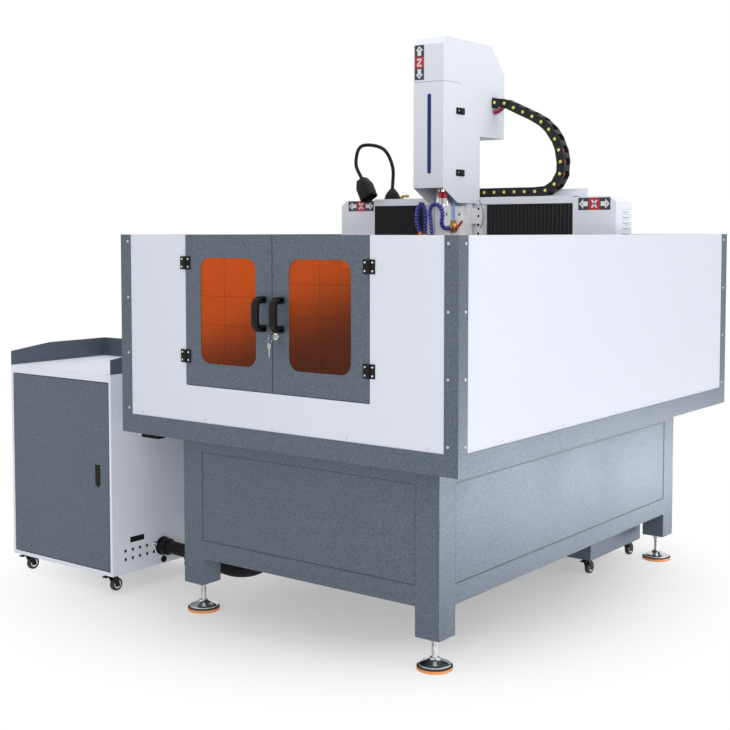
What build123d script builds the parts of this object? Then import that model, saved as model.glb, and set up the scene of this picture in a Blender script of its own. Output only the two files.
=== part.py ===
from build123d import *
import os
from math import pi, radians, tan

# All lengths are millimetres. The machine stands about x = 0, y = 0 with its doors towards -y;
# the finished pieces are shifted once so that the origin lies under the middle of the whole outfit.

# Values that every piece shares
sheet = 2.0
clearance = 0.3
seam = 1.0
overrun = 5.0
hex_sides = 6

# Enclosure and drip tray
enclosure_width = 1420.0
enclosure_depth = 2020.0
enclosure_top = 1350.0
tray_bottom = 652.0
tray_height = 66.0
tray_sheet = 3.0
post_width = 50.0
fold = 25.0

# Welded base
base_inset_x = 160.0
base_inset_y = 143.0
leg_size = 90.0
leg_bottom = 105.0
top_rail_height = 68.0
low_rail_bottom = 201.0
low_rail_height = 65.0
rail_depth = 40.0
infill_recess = 1.5
infill_sheet = 3.0
cross_beam_width = 80.0

# Levelling feet
foot_inset = 47.0
pad_radius = 57.5
pad_height = 14.0
pad_round = 3.0
dish_height = 21.0
dish_rim = 4.0
dish_radius = 51.0
dish_neck_radius = 15.0
stem_radius = 10.0
foot_nut_radius = 17.0
foot_nut_height = 16.0

# Double doors
door_half = 388.0
door_bottom = 844.0
door_gap = 3.0
door_depth = 20.0
window_width = 249.0
window_height = 353.0
window_radius = 40.0
window_lap = 15.0
window_pane = 4.0
handle_x = 38.0
handle_bottom = 1039.0
handle_length = 114.0
handle_reach = 48.0
handle_width = 26.0
handle_bar = 18.0
handle_foot = 22.0
handle_round = 12.0
hinge_heights = (940.0, 1255.0)
hinge_height = 44.0
hinge_leaf = 22.0
hinge_leaf_sheet = 4.0
hinge_knuckle = 5.0
hinge_pin = 3.0
hinge_knuckle_share = 0.5
lock_x = 17.0
lock_z = 1026.0
lock_radius = 8.0
lock_collar_radius = 11.0
lock_collar = 3.0
lock_plug_radius = 5.0
cam_length = 34.0
cam_width = 12.0
cam_sheet = 3.0
key_stem = 11.0
key_sheet = 2.0
key_bow_width = 18.0
key_bow_height = 22.0
key_hole_radius = 4.0

# Cast bed and work table
bed_top = 800.0
bed_width = 520.0
bed_end_gap = 60.0
wing_width = 1120.0
trough_width = 120.0
trough_depth = 60.0
trough_front_wall = 80.0
trough_rear_wall = 180.0
screw_wall = 30.0
motor_pocket = 130.0
way_x = 190.0
way_width = 25.0
way_height = 22.0
way_end_margin = 20.0
carriage_width = 70.0
carriage_length = 100.0
carriage_lift = 6.0
carriage_share = 0.67
table_bottom = 840.0
table_thickness = 60.0
table_width = 640.0
table_length = 1040.0
tee_slot_count = 3
tee_slot_pitch = 200.0
tee_neck = 18.0
tee_head = 32.0
tee_neck_depth = 18.0
tee_head_depth = 14.0
y_screw_radius = 12.5
y_screw_journal = 10.0
y_screw_z = 785.0
y_nut_width = 70.0
y_nut_length = 80.0
y_nut_drop = 88.0
motor_corner_share = 0.125
motor_neck_share = 0.1
motor_cap_share = 0.67
y_motor_size = 80.0
y_motor_length = 112.0
way_cover_width = 520.0
way_cover_high = 870.0
way_cover_low = 855.0
way_cover_pleats = 13
skirt_bottom = 804.0

# Gantry portal
column_inner = 370.0
column_outer = 545.0
column_inner_top = 392.0
column_taper = 17.0
beam_front = 186.0
beam_depth = 200.0
beam_bottom = 1200.0
beam_top = 1465.0
beam_half = 528.0
x_way_heights = (1245.0, 1425.0)
x_way_width = 20.0
x_way_depth = 20.0
x_way_half = 452.0
x_screw_radius = 9.0
x_screw_journal = 7.0
x_screw_y = 176.0
x_screw_z = 1335.0
x_bearing_width = 30.0
x_bearing_height = 70.0
x_bearing_depth = 34.0
x_motor_size = 57.0
x_motor_length = 92.0

# Covers on the beam, bellows and chain trough
bellows_front = 144.0
bellows_depth = 16.0
bellows_sheet = 1.6
bellows_pleats = 22
bellows_bottom = 1215.0
housing_inner = 457.0
housing_outer = 631.0
housing_bottom = 1205.0
housing_top = 1488.0
housing_rear = 273.0
housing_bevel_x = 27.0
housing_bevel_z = 20.0
housing_rear_bevel_y = 57.0
housing_rear_bevel_z = 27.0
louvre_count = 5
louvre_pitch = 20.0
louvre_top = 1436.0
louvre_length = 46.0
louvre_height = 5.0
louvre_front = 201.0
top_cover_height = 28.0
trough_wall_top = 1523.0
trough_wall_start = -20.0
trough_wall_end = 452.0

# Saddle, vertical slide and tower
saddle_half = 86.0
saddle_front = 108.0
saddle_back = 150.0
saddle_bottom = 1205.0
saddle_top = 1462.0
spine_thickness = 12.0
spine_headroom = 295.0
bracket_thickness = 10.0
bracket_reach = 78.0
x_carriage_length = 60.0
x_carriage_width = 46.0
x_carriage_depth = 30.0
x_carriage_offset = 52.0
x_nut_length = 60.0
x_nut_height = 50.0
slide_front = 45.0
slide_back = 70.0
slide_half = 60.0
slide_bottom = 1215.0
slide_headroom = 55.0
z_way_x = 45.0
z_way_width = 20.0
z_way_depth = 20.0
z_way_margin = 5.0
z_carriage_width = 44.0
z_carriage_height = 60.0
z_carriage_depth = 32.0
z_carriage_bottoms = (1225.0, 1390.0)
z_screw_y = 89.0
z_screw_radius = 8.0
z_screw_journal = 6.0
z_screw_bottom = 1320.0
z_bearing_height = 20.0
z_bearing_half = 20.0
z_nut_half = 18.0
z_nut_height = 40.0
z_nut_drop = 70.0
z_motor_size = 80.0
z_motor_height = 140.0
tower_half = 67.0
tower_front = -132.0
tower_split_y = -11.0
tower_head = 163.0
tower_back = 121.0
tower_rear = 300.0
tower_bottom = 1468.0
tower_front_bottom = 1523.0
tower_slope_y = -33.0
tower_height = 612.0
tower_rear_height = 355.0
tower_front_bevel_y = 24.0
tower_front_bevel_z = 26.0
tower_rear_bevel_y = 100.0
tower_rear_bevel_z = 103.0
strip_x = 3.5
strip_width = 18.0
strip_low_margin = 52.0
strip_high_margin = 45.0
strip_lap = 4.0
strip_pane = 3.0

# Spindle and its clamp
spindle_y = -25.0
spindle_radius = 32.5
spindle_bottom = 1225.0
spindle_top = 1560.0
nose_radius = 20.0
nose_length = 20.0
shaft_radius = 8.0
collet_nut_radius = 16.0
collet_nut_bottom = 1170.0
collet_nut_height = 25.0
collet_taper = 3.0
collet_bore = 3.0
collet_depth = 22.0
clamp_half = 43.0
clamp_front = -90.0
clamp_bottom = 1300.0
clamp_top = 1458.0
clamp_slit = 4.0
clamp_bolt_radius = 7.0
clamp_bolt_depth = 12.0
clamp_bolt_z = 1425.0
clamp_bolt_ys = (-71.0, 17.0)

# Coolant valve and segmented hoses on the clamp
valve_front = -55.0
valve_back = -20.0
valve_bottom = 1356.0
valve_height = 36.0
valve_depth = 20.0
port_radius = 7.0
port_length = 12.0
feed_tube_radius = 4.0
feed_tube_top = 1500.0
lever_hub_radius = 8.0
lever_hub = 6.0
lever_length = 44.0
lever_width = 9.0
lever_sheet = 4.0
lever_tilt = 35.0
lever_pin = 3.0
hose_radius = 7.5
hose_fitting = 9.0
nozzle_length = 22.0
nozzle_tip_radius = 3.0
outlet_hose_y = -126.0
outlet_hose_points = ((57, 1392), (60, 1434), (36, 1462), (6, 1450), (8, 1400), (14, 1342))
loop_hose_y = -114.0
loop_hose_points = ((-25, 1350), (-25, 1432), (-42, 1468), (-62, 1436), (-62, 1388), (-50, 1356))

# Cable chain
chain_pitch = 44.5
chain_height = 35.0
chain_width = 50.0
chain_front = 205.0
chain_plate = 3.0
chain_bar_sheet = 3.0
chain_bar_share = 0.5
chain_nose_share = 0.25
chain_start = -10.0
chain_lift = 3.0
chain_right = 371.0
chain_knee_drop = 121.0
chain_knee_x = 112.0
chain_end_drop = 218.0
chain_bend_shares = (0.386, 0.573, 0.41)
chain_bracket = 40.0
chain_bracket_sheet = 4.0

# Work lamp on the beam
lamp_x = -397.0
lamp_y = 186.0
lamp_base_radius = 33.0
lamp_base_top_radius = 14.0
lamp_base_height = 44.0
lamp_neck_radius = 6.5
lamp_neck_points = ((-397, 186, 1630), (-440, 172, 1712), (-528, 142, 1724), (-540, 118, 1650),
                    (-500, 104, 1582))
lamp_head_top = 44.0
lamp_head_width = 84.0
lamp_head_height = 86.0
lamp_head_depth = 56.0
lamp_head_shoulder_share = 0.35

# Control cabinet
cabinet_left = -1480.0
cabinet_width = 592.0
cabinet_conduit_y = 253.0
cabinet_depth = 485.0
cabinet_bottom = 70.0
cabinet_top = 830.0
cabinet_frame = 12.0
cabinet_frame_low = 15.0
cabinet_frame_high = 30.0
cabinet_door_gap = 3.0
cabinet_door_depth = 18.0
pivot_inset = 5.0
pivot_radius = 2.5
pivot_length = 12.0
rim_front_height = 55.0
rim_height = 77.0
rim_slope = 190.0
latch_x = -966.0
latch_bottom = 397.0
latch_height = 87.0
latch_width = 26.0
latch_sheet = 7.0
latch_gap = 2.0
latch_pin = 2.5
latch_pin_lap = 6.0
latch_point = 16.0
vent_inset = 88.0
vent_length = 72.0
vent_height = 22.0
vent_z = 183.0
vent_hole_radius = 6.5
vent_hole_inset = 65.0
vent_hole_pitch = 36.0
vent_hole_count = 5
vent_hole_rows = (156.0, 124.0)
plate_inset = 40.0
plate_sheet = 3.0
plate_standoff = 20.0
drive_count = 3
drive_width = 80.0
drive_height = 190.0
drive_depth = 120.0
drive_z = 470.0
supply_width = 170.0
supply_height = 110.0
supply_depth = 60.0
supply_z = 230.0

# Casters
caster_inset_x = 46.0
caster_inset_y = 40.0
caster_wheel_radius = 25.0
caster_wheel_width = 19.0
caster_tread_round = 4.0
caster_trail = 16.0
caster_plate_size = 46.0
caster_plate_sheet = 3.0
caster_race_radius = 15.0
caster_race = 4.0
caster_fork_sheet = 2.5
caster_fork_half = 13.0
caster_axle_radius = 4.0
caster_axle_boss = 8.0
caster_pedal_length = 30.0
caster_pedal_width = 22.0
caster_pedal_sheet = 4.0

# Conduit between cabinet and machine
conduit_radius = 25.0
conduit_setback = 210.0
conduit_z = 140.0
gland_radius = 32.0
gland_length = 38.0
gland_flange_radius = 36.0
gland_flange = 8.0
conduit_far_x = -219.0
conduit_far_gland = 40.0
bend_share = 0.45
conduit_points = ((-775, 140), (-685, 129), (-590, 110), (-492, 104), (-395, 128), (-312, 184), (-253, 265),
                  (-224, 361), (-219, 465))

# Coolant tank
tank_right = 415.0
tank_width = 560.0
tank_setback = 467.0
tank_depth = 450.0
tank_bottom = 65.0
tank_height = 215.0
tank_sheet = 3.0
tank_lip = 15.0
tank_caster_inset_x = 32.0
tank_caster_inset_y = 36.0

# Places worked out from the sizes above
half_w = enclosure_width / 2
half_d = enclosure_depth / 2
tray_top = tray_bottom + tray_height
tray_floor = tray_bottom + tray_sheet
panel_x = half_w - sheet
panel_y = half_d - sheet
front_plane = -panel_y
base_x = half_w - base_inset_x
base_y = half_d - base_inset_y
bed_length = enclosure_depth - 2 * bed_end_gap
way_length = bed_length - 2 * way_end_margin
trough_front = trough_front_wall - bed_length / 2
trough_rear = bed_length / 2 - trough_rear_wall
opening_half = door_half + door_gap
opening_bottom = door_bottom - door_gap
hinge_x = door_half + door_gap / 2
hinge_y = front_plane - hinge_knuckle
beam_rear = beam_front + beam_depth
table_top = table_bottom + table_thickness
cover_top = beam_top + top_cover_height
tower_top = tower_bottom + tower_height
tower_split_z = tower_top - tower_head
tower_rear_bottom = tower_top - tower_rear_height
spine_top = tower_top - spine_headroom
slide_top = spine_top - bracket_thickness - slide_headroom
strip_bottom = tower_front_bottom + strip_low_margin
strip_top = tower_split_z - strip_high_margin
chain_end_z = tower_top - chain_end_drop
chain_knee_z = chain_end_z - chain_knee_drop
chain_nose = chain_height * chain_nose_share
chain_low = cover_top + chain_lift + chain_height / 2
conduit_y = conduit_setback - base_y
cabinet_front = conduit_y - cabinet_conduit_y
cabinet_right = cabinet_left + cabinet_width
cabinet_rear = cabinet_front + cabinet_depth
pivot_x = cabinet_left + cabinet_frame + cabinet_door_gap + pivot_inset
pivot_y = cabinet_front + pivot_inset
vent_front = cabinet_front + vent_inset
vent_hole_front = cabinet_front + vent_hole_inset
tank_front = base_y - tank_setback
centre_x = (cabinet_left + half_w) / 2
centre_y = (front_plane - handle_reach + half_d) / 2


# Basic forms
def block(x0, x1, y0, y1, z0, z1):
    size = (abs(x1 - x0), abs(y1 - y0), abs(z1 - z0))
    return Pos((x0 + x1) / 2, (y0 + y1) / 2, (z0 + z1) / 2) * Box(*size)


def rod_x(y, z, x0, x1, radius):
    return Pos((x0 + x1) / 2, y, z) * Rot(0, 90, 0) * Cylinder(radius, abs(x1 - x0))


def rod_y(x, z, y0, y1, radius):
    return Pos(x, (y0 + y1) / 2, z) * Rot(90, 0, 0) * Cylinder(radius, abs(y1 - y0))


def rod_z(x, y, z0, z1, radius):
    return Pos(x, y, (z0 + z1) / 2) * Cylinder(radius, abs(z1 - z0))


def prism_x(outline, x0, x1):
    face = make_face(Polyline(*[(x0, y, z) for y, z in outline], close=True))
    return extrude(face, amount=x1 - x0, dir=(1, 0, 0))


def prism_y(outline, y0, y1):
    face = make_face(Polyline(*[(x, y0, z) for x, z in outline], close=True))
    return extrude(face, amount=y1 - y0, dir=(0, 1, 0))


def prism_z(outline, z0, z1):
    face = make_face(Polyline(*[(x, y, z0) for x, y in outline], close=True))
    return extrude(face, amount=z1 - z0, dir=(0, 0, 1))


def turned(profile, x, y):
    face = make_face(Polyline(*[(radius, 0, z) for radius, z in profile], close=True))
    return Pos(x, y, 0) * revolve(face, axis=Axis.Z)


def rounded_slab(x, z, width, height, radius, y0, y1):
    slab = extrude(RectangleRounded(width, height, radius), abs(y1 - y0) / 2, both=True)
    return Pos(x, (y0 + y1) / 2, z) * Rot(90, 0, 0) * slab


def zigzag(start, end, low, high, pleats, thickness):
    step = (end - start) / (2 * pleats)
    front = [(start + step * i, high if i % 2 else low) for i in range(2 * pleats + 1)]
    back = [(u, v + thickness) for u, v in reversed(front)]
    return front + back


def tube(points, radii, radius):
    path = FilletPolyline(*points, radius=radii)
    return sweep(Plane(path @ 0, z_dir=path % 0) * Circle(radius), path=path)


def bend_radii(points, shares=None):
    corners = [Vector(*p) for p in points]
    shares = shares or [bend_share] * len(corners)
    radii = []
    for before, corner, after, share in zip(corners, corners[1:], corners[2:], shares):
        turn = (corner - before).get_angle(after - corner)
        run = min((corner - before).length, (after - corner).length)
        radii.append(share * run / tan(radians(turn) / 2))
    return radii


def put(name, *shapes):
    solids = [Pos(-centre_x, -centre_y, 0) * solid for shape in shapes for solid in shape.solids()]
    export_step(Compound(solids) if len(solids) > 1 else solids[0], f"parts/{name}.step")


# Base, feet and tray
def base_frame():
    solids = []
    inner_x = base_x - leg_size
    inner_y = base_y - leg_size
    top_rail_bottom = tray_bottom - top_rail_height
    low_rail_top = low_rail_bottom + low_rail_height
    for side in (-1, 1):
        for end in (-1, 1):
            solids.append(block(side * base_x, side * inner_x, end * base_y, end * inner_y,
                                leg_bottom, tray_bottom))
        outer, inner = side * base_x, side * (base_x - rail_depth)
        solids.append(block(outer, inner, -inner_y, inner_y, top_rail_bottom, tray_bottom))
        solids.append(block(outer, inner, -inner_y, inner_y, low_rail_bottom, low_rail_top))
        face = side * (base_x - infill_recess)
        solids.append(block(face, face - side * infill_sheet, -inner_y, inner_y,
                            low_rail_top, top_rail_bottom))
        end_face = side * base_y
        solids.append(block(-inner_x, inner_x, end_face, end_face - side * rail_depth,
                            top_rail_bottom, tray_bottom))
    solids.append(block(-inner_x, inner_x, -base_y, rail_depth - base_y, low_rail_bottom, low_rail_top))
    face = infill_recess - base_y
    solids.append(block(-inner_x, inner_x, face, face + infill_sheet, low_rail_top, top_rail_bottom))
    beam_inner = base_x - rail_depth
    beam_places = (cross_beam_width / 2 - inner_y, (beam_front + beam_rear) / 2)
    for y in beam_places:
        half = cross_beam_width / 2
        solids.append(block(-beam_inner, beam_inner, y - half, y + half, top_rail_bottom, tray_bottom))
    return solids


def foot_places():
    return [(x * (base_x - foot_inset), y * (base_y - foot_inset)) for x in (-1, 1) for y in (-1, 1)]


def foot_pads():
    return [fillet(rod_z(x, y, 0, pad_height, pad_radius).edges(), pad_round) for x, y in foot_places()]


def levelling_feet():
    feet = []
    for x, y in foot_places():
        rim_top = pad_height + dish_rim
        neck = pad_height + dish_height
        profile = [(0, pad_height), (dish_radius, pad_height), (dish_radius, rim_top),
                   (dish_neck_radius, neck), (stem_radius, neck), (stem_radius, leg_bottom), (0, leg_bottom)]
        hexagon = extrude(RegularPolygon(foot_nut_radius, hex_sides), foot_nut_height)
        nut = Pos(x, y, leg_bottom - foot_nut_height) * hexagon
        feet.append(turned(profile, x, y) + nut)
    return feet


def drip_tray():
    tray = block(-half_w, half_w, -half_d, half_d, tray_bottom, tray_top)
    inner_x = half_w - tray_sheet
    inner_y = half_d - tray_sheet
    tray -= block(-inner_x, inner_x, -inner_y, inner_y, tray_floor, tray_top + overrun)
    tray -= rod_z(conduit_far_x, conduit_y, tray_bottom - overrun, tray_floor + overrun, conduit_radius)
    return tray


# Enclosure sheets
def corner_posts():
    posts = []
    for side in (-1, 1):
        for end in (-1, 1):
            x, y = side * half_w, end * half_d
            wing_x = block(x, x - side * post_width, y, y - end * sheet, tray_top, enclosure_top)
            wing_y = block(x, x - side * sheet, y, y - end * post_width, tray_top, enclosure_top)
            posts.append(wing_x + wing_y)
    return posts


def front_panel():
    panel = block(-panel_x, panel_x, front_plane, front_plane + sheet, tray_top, enclosure_top)
    panel -= block(-opening_half, opening_half, front_plane - overrun, front_plane + overrun,
                   opening_bottom, enclosure_top + overrun)
    jamb = opening_half + sheet
    flange = front_plane + fold
    panel += block(-jamb, jamb, front_plane, flange, opening_bottom - sheet, opening_bottom)
    for side in (-1, 1):
        panel += block(side * opening_half, side * jamb, front_plane, flange,
                       opening_bottom - sheet, enclosure_top)
        panel += block(side * jamb, side * (panel_x - sheet), front_plane, flange,
                       enclosure_top - sheet, enclosure_top)
    return panel


def side_panels():
    panels = []
    for side in (-1, 1):
        end_y = panel_y - sheet
        fold_y = panel_y - fold
        face = block(side * panel_x, side * (panel_x - sheet), -end_y, end_y, tray_top, enclosure_top)
        top = block(side * panel_x, side * (panel_x - fold), -fold_y, fold_y,
                    enclosure_top - sheet, enclosure_top)
        panels.append(face + top)
    return panels


def rear_panel():
    face = block(-panel_x, panel_x, panel_y - sheet, panel_y, tray_top, enclosure_top)
    top_x = panel_x - sheet
    return face + block(-top_x, top_x, panel_y - fold, panel_y, enclosure_top - sheet, enclosure_top)


# Doors
def door(side):
    inner_x, outer_x = side * door_gap / 2, side * door_half
    leaf = block(inner_x, outer_x, front_plane, front_plane + door_depth, door_bottom, enclosure_top)
    leaf -= block(inner_x + side * sheet, outer_x - side * sheet, front_plane + sheet,
                  front_plane + door_depth + overrun, door_bottom + sheet, enclosure_top - sheet)
    window_x = (inner_x + outer_x) / 2
    window_z = (door_bottom + enclosure_top) / 2
    leaf -= rounded_slab(window_x, window_z, window_width, window_height, window_radius,
                         front_plane - overrun, front_plane + sheet + overrun)
    pane = rounded_slab(window_x, window_z, window_width + 2 * window_lap, window_height + 2 * window_lap,
                        window_radius + window_lap, front_plane + sheet, front_plane + sheet + window_pane)
    return leaf, pane


def right_door_leaf():
    leaf, pane = door(1)
    leaf -= rod_y(lock_x, lock_z, front_plane - overrun, front_plane + overrun, lock_radius + clearance)
    return leaf, pane


def handle(side):
    top = handle_bottom + handle_length
    outer = front_plane - handle_reach
    x0 = side * handle_x - handle_width / 2
    bow = block(x0, x0 + handle_width, outer, front_plane, handle_bottom, top)
    bow = fillet(bow.edges().filter_by(Axis.X).group_by(Axis.Y)[0], handle_round)
    finger = block(x0 - overrun, x0 + handle_width + overrun, outer + handle_bar, front_plane + overrun,
                   handle_bottom + handle_foot, top - handle_foot)
    return bow - finger


def hinge_leaf_solid(side, z, outer_half):
    # outer_half tells the leaf on the frame, which carries the pin, from the leaf on the door
    away = side if outer_half else -side
    axis_x = side * hinge_x
    low, high = z - hinge_height / 2, z + hinge_height / 2
    middle = hinge_height * hinge_knuckle_share / 2
    start = axis_x + away * (hinge_knuckle + clearance)
    end = axis_x + away * hinge_leaf
    leaf = block(start, end, front_plane - hinge_leaf_sheet, front_plane, low, high)
    if outer_half:
        ranges = ((low, z - middle - clearance), (z + middle + clearance, high))
    else:
        ranges = ((z - middle, z + middle),)
    for z0, z1 in ranges:
        leaf += block(axis_x, start, front_plane - hinge_leaf_sheet, front_plane - sheet, z0, z1)
        leaf += rod_z(axis_x, hinge_y, z0, z1, hinge_knuckle)
    if outer_half:
        return leaf + rod_z(axis_x, hinge_y, low, high, hinge_pin)
    return leaf - rod_z(axis_x, hinge_y, low, high, hinge_pin + clearance)


def hinge_leaves():
    return [hinge_leaf_solid(side, z, True) for side in (-1, 1) for z in hinge_heights]


def door_fittings(side):
    return [handle(side)] + [hinge_leaf_solid(side, z, False) for z in hinge_heights]


def lock_barrel():
    back = front_plane + door_depth + seam
    barrel = rod_y(lock_x, lock_z, front_plane - lock_collar, back, lock_radius)
    barrel += rod_y(lock_x, lock_z, front_plane - lock_collar, front_plane, lock_collar_radius)
    return barrel - rod_y(lock_x, lock_z, front_plane - overrun, back + overrun, lock_plug_radius + clearance)


def door_key():
    back = front_plane + door_depth + seam
    face = front_plane - lock_collar
    plug = rod_y(lock_x, lock_z, face, back + cam_sheet, lock_plug_radius)
    half = cam_width / 2
    plug += block(lock_x - half, lock_x + half, back + clearance, back + cam_sheet,
                  lock_z - cam_length, lock_z + half)
    thin = key_sheet / 2
    bow_back = face - key_stem
    bow_front = bow_back - key_bow_height
    bow_half = key_bow_width / 2
    stem_half = bow_half / 2
    stem = block(lock_x - thin, lock_x + thin, bow_back, face, lock_z - stem_half, lock_z + stem_half)
    bow = block(lock_x - thin, lock_x + thin, bow_front, bow_back, lock_z - bow_half, lock_z + bow_half)
    bow -= rod_x((bow_front + bow_back) / 2, lock_z, lock_x - overrun, lock_x + overrun, key_hole_radius)
    return plug + stem + bow


# Bed, ways and table
def machine_bed():
    bed = block(-bed_width / 2, bed_width / 2, -bed_length / 2, bed_length / 2, tray_floor, bed_top)
    bed += block(-wing_width / 2, wing_width / 2, beam_front, beam_rear, tray_floor, bed_top)
    half = trough_width / 2
    floor = bed_top - trough_depth
    bed -= block(-half, half, trough_front, trough_rear, floor, bed_top + overrun)
    pocket = trough_rear + screw_wall
    bed -= block(-half, half, pocket, pocket + motor_pocket, floor, bed_top + overrun)
    journal = y_screw_journal + clearance
    return bed - rod_y(0, y_screw_z, trough_front - screw_wall, pocket + overrun, journal)


def linear_rails():
    rails = []
    for side in (-1, 1):
        x = side * way_x
        rails.append(block(x - way_width / 2, x + way_width / 2, -way_length / 2, way_length / 2,
                           bed_top, bed_top + way_height))
    for z in x_way_heights:
        rails.append(block(-x_way_half, x_way_half, beam_front - x_way_depth, beam_front,
                           z - x_way_width / 2, z + x_way_width / 2))
    return rails


def work_table():
    half_x, half_y = table_width / 2, table_length / 2
    table = block(-half_x, half_x, -half_y, half_y, table_bottom, table_top)
    neck_bottom = table_top - tee_neck_depth
    head_bottom = neck_bottom - tee_head_depth
    reach = half_y + overrun
    for i in range(tee_slot_count):
        x = (i - (tee_slot_count - 1) / 2) * tee_slot_pitch
        table -= block(x - tee_neck / 2, x + tee_neck / 2, -reach, reach, neck_bottom, table_top + overrun)
        table -= block(x - tee_head / 2, x + tee_head / 2, -reach, reach, head_bottom, neck_bottom)
    solids = [table]
    groove = way_width / 2 + clearance
    groove_top = bed_top + way_height + clearance
    for side in (-1, 1):
        for end in (-1, 1):
            x = side * way_x
            y = end * carriage_share * half_y
            body = block(x - carriage_width / 2, x + carriage_width / 2, y - carriage_length / 2,
                         y + carriage_length / 2, bed_top + carriage_lift, table_bottom)
            body -= block(x - groove, x + groove, y - carriage_length, y + carriage_length,
                          bed_top - overrun, groove_top)
            solids.append(body)
    nut = block(-y_nut_width / 2, y_nut_width / 2, -y_nut_length / 2, y_nut_length / 2,
                table_bottom - y_nut_drop, table_bottom)
    solids.append(nut - rod_y(0, y_screw_z, -y_nut_length, y_nut_length, y_screw_radius + clearance))
    return solids


def y_ball_screw():
    screw = rod_y(0, y_screw_z, trough_front + seam, trough_rear - seam, y_screw_radius)
    rear = trough_rear + screw_wall
    return screw + rod_y(0, y_screw_z, trough_front - screw_wall + seam, rear, y_screw_journal)


def motor(size, length):
    # drawn along +z from its flange at z = 0
    corner = size * motor_corner_share
    body = extrude(RectangleRounded(size, size, corner), length)
    neck = size * motor_neck_share
    cap = length * motor_cap_share
    groove = extrude(RectangleRounded(size + overrun, size + overrun, corner), neck / 2)
    groove -= extrude(RectangleRounded(size - neck, size - neck, corner), neck / 2)
    return body - Pos(0, 0, cap) * groove


def feed_motors():
    y_place = Pos(0, trough_rear + screw_wall, y_screw_z) * Rot(-90, 0, 0)
    x_place = Pos(beam_half, x_screw_y, x_screw_z) * Rot(0, 90, 0)
    return [y_place * motor(y_motor_size, y_motor_length), x_place * motor(x_motor_size, x_motor_length)]


def way_cover(end):
    start, stop = end * (table_length / 2), end * (bed_length / 2)
    roof = zigzag(start, stop, way_cover_low, way_cover_high, way_cover_pleats, sheet)
    half = way_cover_width / 2
    cover = prism_x(roof, -half, half)
    for side in (-1, 1):
        cover += block(side * half, side * (half - sheet), start, stop, skirt_bottom, way_cover_low + sheet)
    return cover


# Gantry
def gantry_portal():
    solids = [block(-beam_half, beam_half, beam_front, beam_rear, beam_bottom, beam_top)]
    for side in (-1, 1):
        top_outer = side * (column_outer - column_taper)
        outline = [(side * column_inner, bed_top), (side * column_outer, bed_top),
                   (top_outer, beam_bottom), (side * column_inner_top, beam_bottom)]
        solids.append(prism_y(outline, beam_front, beam_rear))
        inner = side * (beam_half - x_bearing_width)
        bearing = block(inner, side * beam_half, beam_front - x_bearing_depth, beam_front,
                        x_screw_z - x_bearing_height / 2, x_screw_z + x_bearing_height / 2)
        bearing -= rod_x(x_screw_y, x_screw_z, inner - side * overrun, side * (beam_half + overrun),
                         x_screw_journal + clearance)
        solids.append(bearing)
    return solids


def x_ball_screw():
    inner = beam_half - x_bearing_width - seam
    screw = rod_x(x_screw_y, x_screw_z, -inner, inner, x_screw_radius)
    return screw + rod_x(x_screw_y, x_screw_z, -beam_half, beam_half, x_screw_journal)


def end_housing(side):
    rear_low = housing_top - housing_rear_bevel_z
    rear_top = housing_rear - housing_rear_bevel_y
    profile = [(bellows_front, housing_bottom), (housing_rear, housing_bottom), (housing_rear, rear_low),
               (rear_top, housing_top), (bellows_front, housing_top)]
    low = housing_bottom - overrun
    front, rear = bellows_front + sheet, housing_rear - sheet
    hollow = [(front, low), (rear, low), (rear, rear_low - sheet / 2),
              (rear_top - sheet / 2, housing_top - sheet), (front, housing_top - sheet)]
    shell = prism_x(profile, housing_inner, housing_outer)
    cavity = prism_x(hollow, housing_inner + sheet, housing_outer - sheet)
    bevel_x, bevel_z = housing_outer - housing_bevel_x, housing_top - housing_bevel_z
    past_x, past_z = housing_outer + overrun, housing_top + overrun
    bevel = [(housing_outer, bevel_z), (past_x, bevel_z), (past_x, past_z), (bevel_x, past_z),
             (bevel_x, housing_top)]
    back = beam_rear + overrun
    shell -= prism_y(bevel, bellows_front - overrun, back)
    lowered = [(x - sheet, z - sheet / 2) for x, z in bevel]
    cavity -= prism_y(lowered, bellows_front - overrun, back)
    shell -= cavity
    shell -= block(housing_inner - overrun, beam_half + seam, beam_front - x_way_depth - seam, back,
                   low, beam_top + seam)
    for i in range(louvre_count):
        z = louvre_top - i * louvre_pitch
        shell -= block(housing_outer - sheet - overrun, housing_outer + overrun, louvre_front,
                       louvre_front + louvre_length, z - louvre_height, z)
    return shell if side > 0 else mirror(shell, about=Plane.YZ)


def top_cover():
    half = housing_inner - clearance
    front, rear = bellows_front, housing_rear
    cover = block(-half, half, front, rear, cover_top - sheet, cover_top)
    cover += block(-half, half, front, front + sheet, beam_top + clearance, cover_top)
    cover += block(-half, half, rear - sheet, rear, beam_top, cover_top)
    return cover + block(trough_wall_start, trough_wall_end, rear - sheet, rear, cover_top, trough_wall_top)


def bellows(side):
    start, stop = side * (saddle_half + clearance), side * (housing_inner - clearance)
    rear = bellows_front + bellows_depth - bellows_sheet
    folds = zigzag(start, stop, bellows_front, rear, bellows_pleats, bellows_sheet)
    return prism_z(folds, bellows_bottom, beam_top)


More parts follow.
